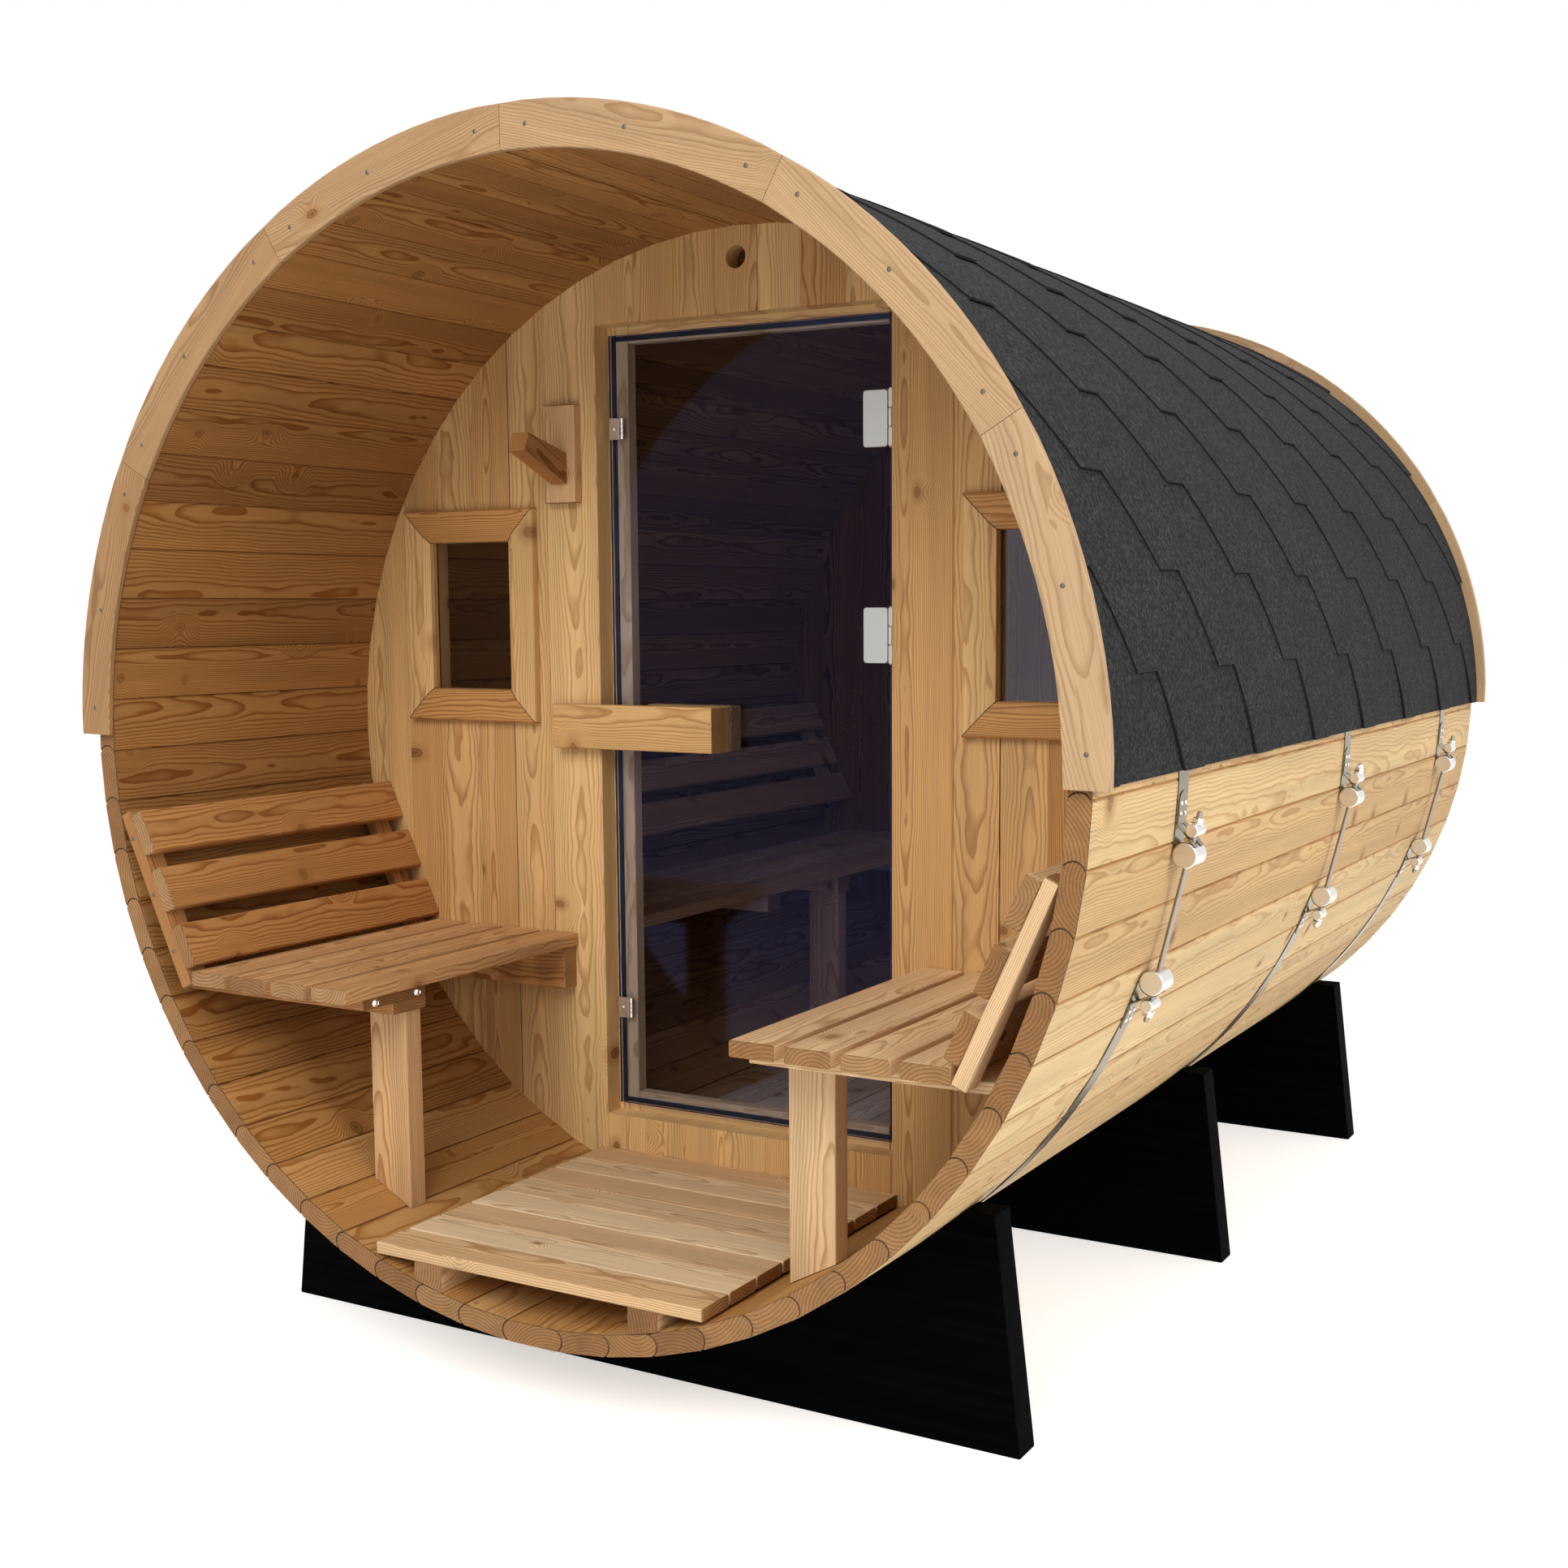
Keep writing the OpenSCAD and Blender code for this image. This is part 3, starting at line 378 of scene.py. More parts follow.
def add_piece(mesh, name, materials, nodes=(), body="barrel"):
    """Makes a piece of a built mesh, riding on a body and standing for CAD nodes."""
    bmesh.ops.recalc_face_normals(mesh, faces=mesh.faces)
    data = bpy.data.meshes.new(name)
    mesh.to_mesh(data)
    mesh.free()
    for material in materials:
        data.materials.append(material)
    data.polygons.foreach_set("use_smooth", [True] * len(data.polygons))
    data.set_sharp_from_angle(angle=SHARP_ANGLE)
    piece = bpy.data.objects.new(name, data)
    bpy.context.scene.collection.objects.link(piece)
    weighted = piece.modifiers.new("flat faces stay flat", "WEIGHTED_NORMAL")
    weighted.keep_sharp = True
    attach(piece, body)
    if nodes:
        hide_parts(*nodes)
    return piece


def eased(corners, ease, steps=3):
    """An outline with each corner rounded over."""
    outline = []
    for i, corner in enumerate(corners):
        corner = Vector(corner)
        before = Vector(corners[i - 1]) - corner
        after = Vector(corners[(i + 1) % len(corners)]) - corner
        cut = min(ease, 0.45 * before.length, 0.45 * after.length)
        start, end = corner + before.normalized() * cut, corner + after.normalized() * cut
        for k in range(steps + 1):
            t = k / steps
            outline.append(start * (1 - t) ** 2 + corner * 2 * t * (1 - t) + end * t * t)
    return outline


def rectangle(width, height):
    """Corners of a rectangle about the origin."""
    x, y = width / 2, height / 2
    return (-x, -y), (x, -y), (x, y), (-x, y)


def shrunk(outline, inset):
    """An outline drawn in a little towards its middle."""
    middle = sum(outline, Vector((0, 0))) / len(outline)
    drawn = []
    for point in outline:
        away = point - middle
        drawn.append(middle + away * max(0.0, 1 - inset / max(away.length, 1e-6)))
    return drawn


def bar_rings(outline, start, end, side, up, chamfer, cuts=(0.0, 0.0)):
    """Rings of a bar from start to end; cuts slope its ends by that much for each unit across."""
    way = (end - start).normalized()
    small = shrunk(outline, chamfer)
    rings = []
    for at, shape, back, cut in (
        (start, small, 0.0, cuts[0]), (start, outline, chamfer, cuts[0]),
        (end, outline, -chamfer, cuts[1]), (end, small, 0.0, cuts[1]),
    ):
        rings.append([at + side * p.x + up * p.y + way * (back + cut * p.x) for p in shape])
    return rings


def kept_inside(rings, axis):
    """Draws points back along X or Z where they would stand in the staves."""
    for ring in rings:
        for point in ring:
            height = point.z - AXIS_Z
            if math.hypot(point.x, height) <= ROOM_R:
                continue
            if axis == 0:
                point.x = math.copysign(math.sqrt(ROOM_R ** 2 - height ** 2), point.x)
            else:
                point.z = AXIS_Z + math.copysign(math.sqrt(ROOM_R ** 2 - point.x ** 2), height)
    return rings


CHAMFER_MOST = 0.006
BOARD_TONES, END_TONES = (0.66, 0.98), (0.0, 1.0)
LOG_LEAN, LOG_DEPTH, LOG_ASIDE, LOG_SHIFT = 0.012, (0.010, 0.085), 0.045, (1, 60)


class Timber:
    """Boards gathered into one mesh, each with its own grain and tone."""

    def __init__(self, seed, tones=BOARD_TONES, end_tones=END_TONES):
        self.chance = random.Random(seed)
        self.tones = tones
        self.end_tones = end_tones
        self.mesh = bmesh.new()
        self.grain = self.mesh.verts.layers.float_vector.new("grain")
        self.tone = self.mesh.verts.layers.float.new("tone")
        self.end = self.mesh.faces.layers.float.new("end_grain_and_shade")

    def log(self, rings, along, face, tone=None):
        """The place in a log that a board is sawn from: each point's grain, and the board's tone."""
        points = [point for ring in rings for point in ring]
        middle = sum(points, Vector()) / len(points)
        across = face.cross(along)
        thick = max(abs((p - middle).dot(face)) for p in points)
        half = max(abs((p - middle).dot(along)) for p in points)
        chance = self.chance
        lean = chance.uniform(-LOG_LEAN, LOG_LEAN)
        tilt = chance.uniform(-LOG_LEAN, LOG_LEAN)
        depth = thick + half * abs(tilt) + chance.uniform(*LOG_DEPTH)
        aside = chance.uniform(-LOG_ASIDE, LOG_ASIDE)
        shift = chance.uniform(*LOG_SHIFT)
        side = chance.choice((-1, 1))

        def place(point):
            off = point - middle
            run = off.dot(along)
            aslant = off.dot(across) + aside + lean * run
            return Vector((run + shift, aslant, side * off.dot(face) + depth + tilt * run))

        return place, chance.uniform(*self.tones) if tone is None else tone

    def board(self, rings, along, face, log=None, capped=True, sawn_ends=True, tone=None):
        """Adds a board skinned through rings, with fibres along one way and its broad side towards another.

        Returns the rows of its points.
        """
        place, tone = log or self.log(rings, along, face, tone)
        rows, caps = skin(self.mesh, rings, capped)
        for row in rows:
            for vert in row:
                vert[self.grain] = place(vert.co)
                vert[self.tone] = tone
        if caps and sawn_ends:
            for cap, near, far in zip(caps, (rows[0], rows[-1]), (rows[1], rows[-2])):
                cap[self.end] = 1.0 + self.chance.uniform(*self.end_tones)
                if (near[0].co - far[0].co).length < CHAMFER_MOST:
                    self.mark(near, far, cap[self.end])
        return rows

    def mark(self, near, far, value):
        """Gives the faces between two rows of points their value of end grain, or the value that darkens them
        as painted shade.
        """
        touching = {face for vert in near for face in vert.link_faces}
        for face in touching & {face for vert in far for face in vert.link_faces}:
            face[self.end] = value

    def plank(self, low, high, axis, ease=0.003, fit=None, chamfer=0.0015, tone=None):
        """Adds a straight board that fills a box, fibres along one axis; fit keeps it inside the staves."""
        low, high = Vector(low), Vector(high)
        ways = [X, Y, Z]
        along = ways.pop(axis)
        side, up = ways
        size, middle = high - low, (low + high) / 2
        wide, thick = size.dot(side), size.dot(up)
        half = along * size.dot(along) / 2
        outline = eased(rectangle(wide, thick), ease)
        rings = bar_rings(outline, middle - half, middle + half, side, up, chamfer)
        if fit is not None:
            rings = kept_inside(rings, fit)
        self.board(rings, along, up if wide > thick else side, tone=tone)

    def done(self, name, material, slot, nodes, body="barrel"):
        """Makes the piece."""
        return add_piece(self.mesh, name, [material], nodes, body)


class Metalwork:
    """Turned, flat and bent metal parts gathered into one mesh."""

    def __init__(self):
        self.mesh = bmesh.new()

    def turned(self, at, way, profile, sides=32):
        """Adds a part turned about an axis; the profile gives places along it and radii."""
        way = way.normalized()
        side = way.orthogonal().normalized()
        up = way.cross(side)
        rings = []
        for along, radius in profile:
            ring = []
            for k in range(sides):
                a = math.tau * k / sides
                ring.append(at + way * along + (side * math.cos(a) + up * math.sin(a)) * radius)
            rings.append(ring)
        skin(self.mesh, rings)

    def pin(self, at, way, length, radius, edge=0.001, sides=32):
        """Adds a cylinder about a point, with broken edges."""
        half = length / 2
        small = radius - edge
        profile = ((-half, small), (-half + edge, radius), (half - edge, radius), (half, small))
        self.turned(at, way, profile, sides)

    def nut(self, at, way, height, across):
        """Adds a hexagon nut about a point."""
        self.pin(at, way, height, across / 2 / math.cos(math.pi / 6), 0.0012, 6)

    def flat(self, outline, at, side, up, thick, edge=0.0006):
        """Adds a flat part of an outline, standing out from a point along side x up."""
        way = side.cross(up)
        skin(self.mesh, bar_rings(outline, at, at + way * thick, side, up, edge))

    def ribbon(self, path, y0, y1, thick):
        """Adds a strip of metal that follows a path drawn across the barrel, between two places along it."""
        rings = []
        for i, point in enumerate(path):
            run = path[min(i + 1, len(path) - 1)] - path[max(i - 1, 0)]
            out = Vector((-run.y, run.x)).normalized() * thick / 2
            ring = []
            for y, sign in ((y0, -1), (y1, -1), (y1, 1), (y0, 1)):
                place = point + out * sign
                ring.append(Vector((place.x, y, AXIS_Z + place.y)))
            rings.append(ring)
        skin(self.mesh, rings)

    def screw(self, at, way, radius):
        """Adds the domed head of a screw with a recess in its top."""
        dome = ((0.0, 1.0), (0.35, 0.8), (0.5, 0.4), (0.3, 0.3), (0.25, 0.05))
        profile = [(-0.001, radius)] + [(rise * radius, share * radius) for rise, share in dome]
        self.turned(at, way, profile, 20)

    def done(self, name, material, slot, nodes=(), body="barrel"):
        """Makes the piece."""
        return add_piece(self.mesh, name, [material], nodes, body)


def outward(angle):
    """The way out from the barrel's axis."""
    return Vector((math.cos(angle), 0, math.sin(angle)))


def tangent_at(angle):
    """The way round the barrel."""
    return Vector((-math.sin(angle), 0, math.cos(angle)))


def polar(radius, angle):
    """A point across the barrel, from its axis."""
    return Vector((radius * math.cos(angle), radius * math.sin(angle)))


def arc(middle, radius, start, end, steps):
    """Points on an arc across the barrel."""
    return [middle + polar(radius, start + (end - start) * k / steps) for k in range(steps + 1)]


# Staves

STAVE_ZONES = ("staves_top_left", "staves_high_left", "staves_left", "staves_low_left", "staves_bottom",
               "staves_low_right", "staves_right", "staves_high_right", "staves_top_right")
STAVES_A_ZONE = STAVE_COUNT // len(STAVE_ZONES)
STAVE_LIP = 0.0018
STAVE_END = 0.0014
STAVE_TONES, STAVE_END_TONES = (0.7, 1.0), (0.15, 0.6)
# Inner faces get low tones, painted shade inside the barrel; staves of the floor get higher ones, painted
# light from above
INSIDE_SHADE_TONES, LIT_FLOOR_TONES = (0.23, 0.42), (0.5, 0.78)
# Bead and cove faces take the joint tones, and the chamfers at stave ends the last value: painted shade in
# the joints
JOINT_TONE_IN, JOINT_TONE_OUT, SHADED_CHAMFER = 0.06, 0.42, 3.0
BEAD_STEPS = 12


def stave_side(sign, bead):
    """One edge of a stave from its inner to its outer face, as radius and distance from its middle."""
    mid_r = BARREL_R - STAVE_T / 2
    half = mid_r * math.tan(STAVE_PITCH / 2)
    across = half - math.sqrt(BEAD_R ** 2 - STAVE_T ** 2 / 4)
    if bead:
        centre, radius, lip = Vector((mid_r, across)), BEAD_R, 0.0
    else:
        cos, sin = math.cos(STAVE_PITCH), math.sin(STAVE_PITCH)
        centre = Vector((mid_r * cos + across * sin, mid_r * sin - across * cos))
        radius, lip = BEAD_R + STAVE_GAP, STAVE_LIP
    start = math.asin(max(-1.0, (BARREL_IN + lip - centre.x) / radius))
    end = math.asin(min(1.0, (BARREL_R - lip - centre.x) / radius))
    edge = []
    for k in range(BEAD_STEPS + 1):
        a = start + (end - start) * k / BEAD_STEPS
        reach = math.cos(a) if bead else -math.cos(a)
        edge.append(Vector((centre.x + radius * math.sin(a), sign * (centre.y + radius * reach))))
    if not bead:
        edge.insert(0, Vector((BARREL_IN, edge[0].y - sign * lip)))
        edge.append(Vector((BARREL_R, edge[-1].y - sign * lip)))
    return edge


def make_staves():
    """Bead-and-cove staves all round: painted shade darkens them inside, painted light brightens those of the
    floor, and painted shade darkens their joints still more and the chamfers at their ends.
    """
    for zone, name in enumerate(STAVE_ZONES):
        timber = Timber(100 + zone, STAVE_TONES, STAVE_END_TONES)
        first = (zone - len(STAVE_ZONES) // 2) * STAVES_A_ZONE - STAVES_A_ZONE // 2
        for k in range(first, first + STAVES_A_ZONE):
            last = -(STAVE_COUNT // 2)
            upper = stave_side(1, k >= 0)
            lower = stave_side(-1, k <= 0 and k > last)
            outline = lower[::-1] + upper
            angle = -math.pi / 2 + k * STAVE_PITCH
            out, tangent = outward(angle), tangent_at(angle)
            axis = Vector((0, 0, AXIS_Z))
            small = shrunk(outline, STAVE_END)
            places = FRONT, FRONT + STAVE_END, REAR - STAVE_END, REAR
            rings = []
            for y, shape in zip(places, (small, outline, outline, small)):
                rings.append([axis + Y * y + out * p.x + tangent * p.y for p in shape])
            rows = timber.board(rings, Y, out)
            # How far a stave faces up: the floor's staves get painted light, the others painted shade inside
            floor = max(0.0, -math.sin(angle)) ** 4
            inside = timber.chance.uniform(*INSIDE_SHADE_TONES) * (1 - floor)
            inside += timber.chance.uniform(*LIT_FLOOR_TONES) * floor
            for row in rows:
                for vert, point in zip(row, outline):
                    # Bead and cove points take the dark joint tones: painted shade between the staves
                    if point.x < BARREL_IN + STAVE_LIP / 4:
                        vert[timber.tone] = inside
                    elif point.x < BARREL_R - STAVE_T / 2:
                        vert[timber.tone] = JOINT_TONE_IN
                    elif point.x < BARREL_R - STAVE_LIP / 4:
                        vert[timber.tone] = JOINT_TONE_OUT
            # The chamfers round both ends are darkened: painted shade at the joints between stave ends
            for near, far in (rows[:2], rows[2:]):
                timber.mark(near, far, SHADED_CHAMFER)
        timber.done(name + "_boards", STAVE_PINE, "stave_pine", [name])


# Arched trims

TRIM_IN_R, TRIM_W, TRIM_BOARDS = 0.960, 0.074, 6
TRIM_STEPS, TRIM_OVER_RIGHT, TRIM_SHORT_LEFT = 12, 0.0075, 0.011
TRIM_JOINT, TRIM_EASE, TRIM_CHAMFER = 0.0004, 0.003, 0.001
TRIM_TONE_RIGHT, TRIM_TONE_DROP = 0.86, 0.24
TRIM_SCREW_R, TRIM_SCREW_IN, TRIM_SCREW_OFF, TRIM_SCREW_SUNK = 0.0045, 0.05, 0.02, 0.0012


def make_arch_trim(node, way):
    """Six bowed boards, sawn from straight planks, with a screw near each end and one between."""
    timber = Timber(way + 210)
    screws = Metalwork()
    low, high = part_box(node)
    thick, middle_y = high.y - low.y, (high.y + low.y) / 2
    face_y = low.y if way < 0 else high.y
    outline = eased(rectangle(TRIM_W, thick), TRIM_EASE)
    middle_r = TRIM_IN_R + TRIM_W / 2
    step = math.pi / TRIM_BOARDS
    for i in range(TRIM_BOARDS):
        start = i * step + TRIM_JOINT - (TRIM_OVER_RIGHT if i == 0 else 0.0)
        end = (i + 1) * step - TRIM_JOINT - (TRIM_SHORT_LEFT if i == TRIM_BOARDS - 1 else 0.0)
        rings = []
        for k in range(TRIM_STEPS + 1):
            a = start + (end - start) * k / TRIM_STEPS
            out = outward(a)
            shape = shrunk(outline, TRIM_CHAMFER) if k in (0, TRIM_STEPS) else outline
            rings.append([Vector((0, middle_y, AXIS_Z)) + out * (middle_r + p.x) + Y * p.y for p in shape])
        middle = (start + end) / 2
        # Tones fall from the right-hand board to the left-hand one: painted light on the right, painted shade
        # on the left
        tone = TRIM_TONE_RIGHT - TRIM_TONE_DROP * (i / (TRIM_BOARDS - 1))
        timber.board(rings, tangent_at(middle), Y, tone=tone)
        for a in (start + TRIM_SCREW_IN, middle + TRIM_SCREW_OFF, end - TRIM_SCREW_IN):
            at = Vector((middle_r * math.cos(a), face_y, AXIS_Z + middle_r * math.sin(a)))
            screws.screw(at - Y * way * TRIM_SCREW_SUNK, Y * way, TRIM_SCREW_R)
    timber.done(node + "_boards", TRIM_PINE, "trim_pine", [node])
    screws.done(node + "_screws", DARK_STEEL, "stainless_steel")


# Roof of hexagonal felt shingles, laid in courses from both eaves to the ridge

ROOF_R = 1.0035
COURSE = 0.1555
TAB_PITCH = 0.375
TAB_FOOT = 0.090
TAB_STEP = (TAB_PITCH - 2 * TAB_FOOT) / 2
TAB_T = 0.0042
TAB_LIFT = 0.0062
EAVES = {1: -0.007, -1: 0.012}
FIRST_TAB = 0.0275
RIDGE_ARC = ROOF_R * math.pi / 2
BEND_STEPS = 5
CAP_HALF, CAP_STEP, CAP_LAP, CAP_RAISED, CAP_BENDS = 0.115, 0.150, 0.05, 0.002, 5
UNDERLAY_SUNK, UNDERLAY_BENDS = 0.0002, 60


def course_faces(flat, foot, offset):
    """Draws one course of tabs flat, with X along the barrel and Y up the slope."""
    half_foot, half_wide = TAB_FOOT / 2, TAB_FOOT / 2 + TAB_STEP
    count = int((REAR - FRONT) / TAB_PITCH) + 3
    for i in range(-1, count):
        x = FRONT + FIRST_TAB + offset + i * TAB_PITCH
        middle, head = foot + COURSE, foot + 2 * COURSE
        outline = ((x - half_foot, foot), (x + half_foot, foot), (x + half_wide, middle),
                   (x + half_foot, head), (x - half_foot, head), (x - half_wide, middle))
        flat.faces.new([flat.verts.new((px, py, 0)) for px, py in outline])


def felt_sheet(x0, x1, foot, head, height=0.0):
    """A flat rectangle of felt, with X along the barrel and Y up the slope."""
    flat = bmesh.new()
    corners = ((x0, foot), (x1, foot), (x1, head), (x0, head))
    flat.faces.new([flat.verts.new((px, py, height)) for px, py in corners])
    return flat


def thickened(flat, thick):
    """Gives flat shingles their thickness, with bare bitumen on the cut edges, drawn near black also as
    painted shade.
    """
    made = bmesh.ops.extrude_face_region(flat, geom=flat.faces[:])
    for item in made["geom"]:
        if isinstance(item, bmesh.types.BMVert):
            item.co.z += thick
    flat.normal_update()
    for face in flat.faces:
        face.material_index = 1 if abs(face.normal.z) < 0.5 else 0


def cut_to(flat, place, normal, clear):
    """Cuts flat shingles along a line, and takes away what lies beyond it if asked."""
    geom = flat.verts[:] + flat.edges[:] + flat.faces[:]
    bmesh.ops.bisect_plane(flat, geom=geom, plane_co=place, plane_no=normal, clear_outer=clear)


def cut_bends(flat, foot, head, count):
    """Cuts flat felt across the slope, so that it can bend round the barrel."""
    for k in range(1, count):
        cut_to(flat, (0, foot + k * (head - foot) / count, 0), (0, 1, 0), False)


def make_roof():
    """Courses of tabs from both eaves over an underlay and a starter strip, and lapped caps on the ridge."""
    roof = bmesh.new()
    front, rear = FRONT + SEAT_GAP, REAR - SEAT_GAP
    for side, eave in EAVES.items():
        course = 0
        foot = eave
        while foot < RIDGE_ARC - COURSE / 2:
            flat = bmesh.new()
            course_faces(flat, foot, TAB_PITCH / 2 * (course % 2))
            thickened(flat, TAB_T)
            cut_to(flat, (front, 0, 0), (-1, 0, 0), True)
            cut_to(flat, (rear, 0, 0), (1, 0, 0), True)
            cut_to(flat, (0, RIDGE_ARC, 0), (0, 1, 0), True)
            cut_bends(flat, foot, foot + 2 * COURSE, 2 * BEND_STEPS)
            wrap(roof, flat, side, foot)
            course += 1
            foot += COURSE
        underlay = felt_sheet(FRONT, REAR, eave, RIDGE_ARC, -UNDERLAY_SUNK)
        cut_bends(underlay, eave, RIDGE_ARC, UNDERLAY_BENDS)
        wrap(roof, underlay, side, None)
        starter = felt_sheet(front, rear, eave, eave + COURSE)
        thickened(starter, TAB_T)
        cut_bends(starter, eave, eave + COURSE, BEND_STEPS)
        wrap(roof, starter, side, None)
    lap = front
    while lap < rear:
        cap = felt_sheet(lap, min(lap + CAP_STEP + CAP_LAP, rear), -CAP_HALF, CAP_HALF)
        thickened(cap, TAB_T)
        cut_bends(cap, -CAP_HALF, CAP_HALF, 2 * CAP_BENDS)
        for vert in cap.verts:
            vert.co.z += TAB_LIFT * (1 - (vert.co.x - lap) / (CAP_STEP + CAP_LAP)) + CAP_RAISED
            vert.co.y += RIDGE_ARC
        wrap(roof, cap, 1, None)
        lap += CAP_STEP
    add_piece(roof, "roof_shingle_tabs", [SHINGLE, SHADED_CUT_BITUMEN], ["roof_shingles"])


def wrap(roof, flat, side, foot):
    """Bends a flat course round the barrel and adds it to the roof; each course lies on the one below."""
    flat.verts.index_update()
    placed = []
    for vert in flat.verts:
        along, slope, height = vert.co
        if foot is not None:
            height += TAB_LIFT * max(0.0, 1 - (slope - foot) / (2 * COURSE))
        angle = slope / ROOF_R
        radius = ROOF_R + height
        across, up = side * radius * math.cos(angle), radius * math.sin(angle)
        placed.append(roof.verts.new((across, along, AXIS_Z + up)))
    for face in flat.faces:
        made = roof.faces.new([placed[v.index] for v in face.verts])
        made.material_index = face.material_index
    flat.free()


# Steel bands with their tensioners

BAND_R = 1.0015
BAND_T, BAND_W = 0.0014, 0.045
TRUNNION_R, TRUNNION_L = 0.020, 0.050
TRUNNION_C = BAND_R + BAND_T + TRUNNION_R
ROD_DROP, ROD_SPAN, ROD_END, ROD_R = 0.243, 0.212, 0.070, 0.005
ROLLER_R, ROLLER_L, ROLLER_OFF = 0.0105, 0.042, 0.040
SLOT_W = 0.013
BAND_STEPS, LOOP_STEPS = 220, 22
TONGUE_L, TONGUE_AT = 0.052, 0.046
TONGUE_IN, TONGUE_STEPS, TONGUE_ROUND, STRAP_EASE = 0.004, 10, 0.7, 0.0005
RIVETS_ALONG, RIVET_ACROSS = (0.3, 0.62), 0.0095
RIVET_PROFILE = (-0.001, 0.0042), (0.0006, 0.0042), (0.0018, 0.003), (0.0024, 0.001)
THREAD_STEPS, THREAD_DEPTH, ROD_CHAMFER = 150, 0.0007, 0.001
NUT_H, NUT_W, NUT_OFF, WASHER_T, WASHER_R = 0.008, 0.017, 0.005, 0.002, 0.0105
ACORN_IN = 0.012
ACORN_PROFILE = (0.0, 0.0078), (0.006, 0.0072), (0.010, 0.005), (0.012, 0.002)
HALF_SPAN = math.asin(ROD_SPAN / 2 / TRUNNION_C)
ROD_DISTANCE = TRUNNION_C * math.cos(HALF_SPAN)
ROD_ANGLE = -math.asin(ROD_DROP / ROD_DISTANCE)


def make_band(name, tensioner, capped):
    """A steel strap round the barrel, its ends looped round the trunnions, folded back and riveted."""
    low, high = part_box(name)
    middle = (low.y + high.y) / 2
    y0, y1 = middle - BAND_W / 2, middle + BAND_W / 2
    band = Metalwork()
    rivets = Metalwork()
    upper, lower = ROD_ANGLE + HALF_SPAN, ROD_ANGLE - HALF_SPAN
    mid_r = BAND_R + BAND_T / 2
    band.ribbon(arc(Vector((0, 0)), mid_r, upper, lower + math.tau, BAND_STEPS), y0, y1, BAND_T)
    slot = SLOT_W / 2
    for angle, side in ((upper, 1), (lower, -1)):
        centre = polar(TRUNNION_C, angle)
        loop_r = TRUNNION_R + BAND_T / 2
        foot_a = angle + side * TONGUE_AT / mid_r
        foot = polar(mid_r + BAND_T, foot_a)
        away = foot - centre
        lift = math.acos(loop_r / away.length)
        touch = math.atan2(away.y, away.x) + side * -lift
        start = angle + math.pi
        sweep = (touch - start) % math.tau if side < 0 else -((start - touch) % math.tau)
        path = arc(centre, loop_r, start, start + sweep, LOOP_STEPS) + [foot]
        for a, b in ((y0, middle - slot), (middle + slot, y1)):
            band.ribbon(path, a + STRAP_EASE, b - STRAP_EASE, BAND_T)
        tongue_tip = foot_a + side * TONGUE_L / mid_r
        tongue_y = (y1 - y0) / 2 - TONGUE_IN
        rings = []
        for k in range(TONGUE_STEPS + 1):
            t = k / TONGUE_STEPS
            a = foot_a + (tongue_tip - foot_a) * t
            round_off = max(0.0, (t - TONGUE_ROUND) / (1 - TONGUE_ROUND))
            half = tongue_y * math.sqrt(max(0.03, 1 - round_off ** 2))
            out = outward(a)
            inner = Vector((0, middle, AXIS_Z)) + out * (BAND_R + BAND_T)
            rings.append([inner - Y * half, inner + Y * half, inner + Y * half + out * BAND_T,
                          inner - Y * half + out * BAND_T])
        skin(band.mesh, rings)
        for along in RIVETS_ALONG:
            a = foot_a + (tongue_tip - foot_a) * along
            out = outward(a)
            for across in (-RIVET_ACROSS, RIVET_ACROSS):
                at = Vector((0, middle + across, AXIS_Z)) + out * (BAND_R + 2 * BAND_T)
                rivets.turned(at, out, RIVET_PROFILE, 16)
    band.done(name + "_strap", STAINLESS, "stainless_steel", [name])
    rivets.done(name + "_rivets", NICKEL, "nickel_plated_steel")
    make_tensioner(tensioner, middle, capped)


def make_tensioner(name, middle, capped):
    """Two trunnions drawn together by a threaded rod, with rollers and nuts at its ends."""
    parts, rod = Metalwork(), Metalwork()
    way = tangent_at(ROD_ANGLE)
    centre = Vector((0, middle, AXIS_Z)) + outward(ROD_ANGLE) * ROD_DISTANCE
    half = ROD_SPAN / 2 + ROD_END
    thread = []
    for k in range(THREAD_STEPS + 1):
        along = -half + 2 * half * k / THREAD_STEPS
        cut = (THREAD_DEPTH if k % 2 else 0.0) + (ROD_CHAMFER if k in (0, THREAD_STEPS) else 0.0)
        thread.append((along, ROD_R - cut))
    rod.turned(centre, way, thread, 20)
    rod.done(name + "_rod", ROD_STEEL, "nickel_plated_steel")
    for side in (-1, 1):
        at = centre + way * side * ROD_SPAN / 2
        parts.pin(at, Y, TRUNNION_L, TRUNNION_R, 0.0015, 48)
        roller = centre + way * side * (ROD_SPAN / 2 + ROLLER_OFF)
        parts.pin(roller, Y, ROLLER_L, ROLLER_R, 0.0012, 40)
        washer = roller + way * side * (ROLLER_R + 0.0005)
        parts.pin(washer, way, WASHER_T, WASHER_R, 0.0004)
        parts.nut(washer + way * side * NUT_OFF, way, NUT_H, NUT_W)
        if capped:
            acorn = centre + way * side * (half - ACORN_IN)
            parts.nut(acorn - way * side * NUT_H / 2, way, NUT_H, NUT_W)
            parts.turned(acorn, way * side, ACORN_PROFILE, 24)
    parts.done(name + "_parts", NICKEL, "nickel_plated_steel", [name])


# Cradles

CRADLE_R = 1.0015
CRADLE_ARC_STEPS, HORN_W, CRADLE_EDGE, CRADLE_SHARP = 48, 0.055, 0.003, math.radians(30)


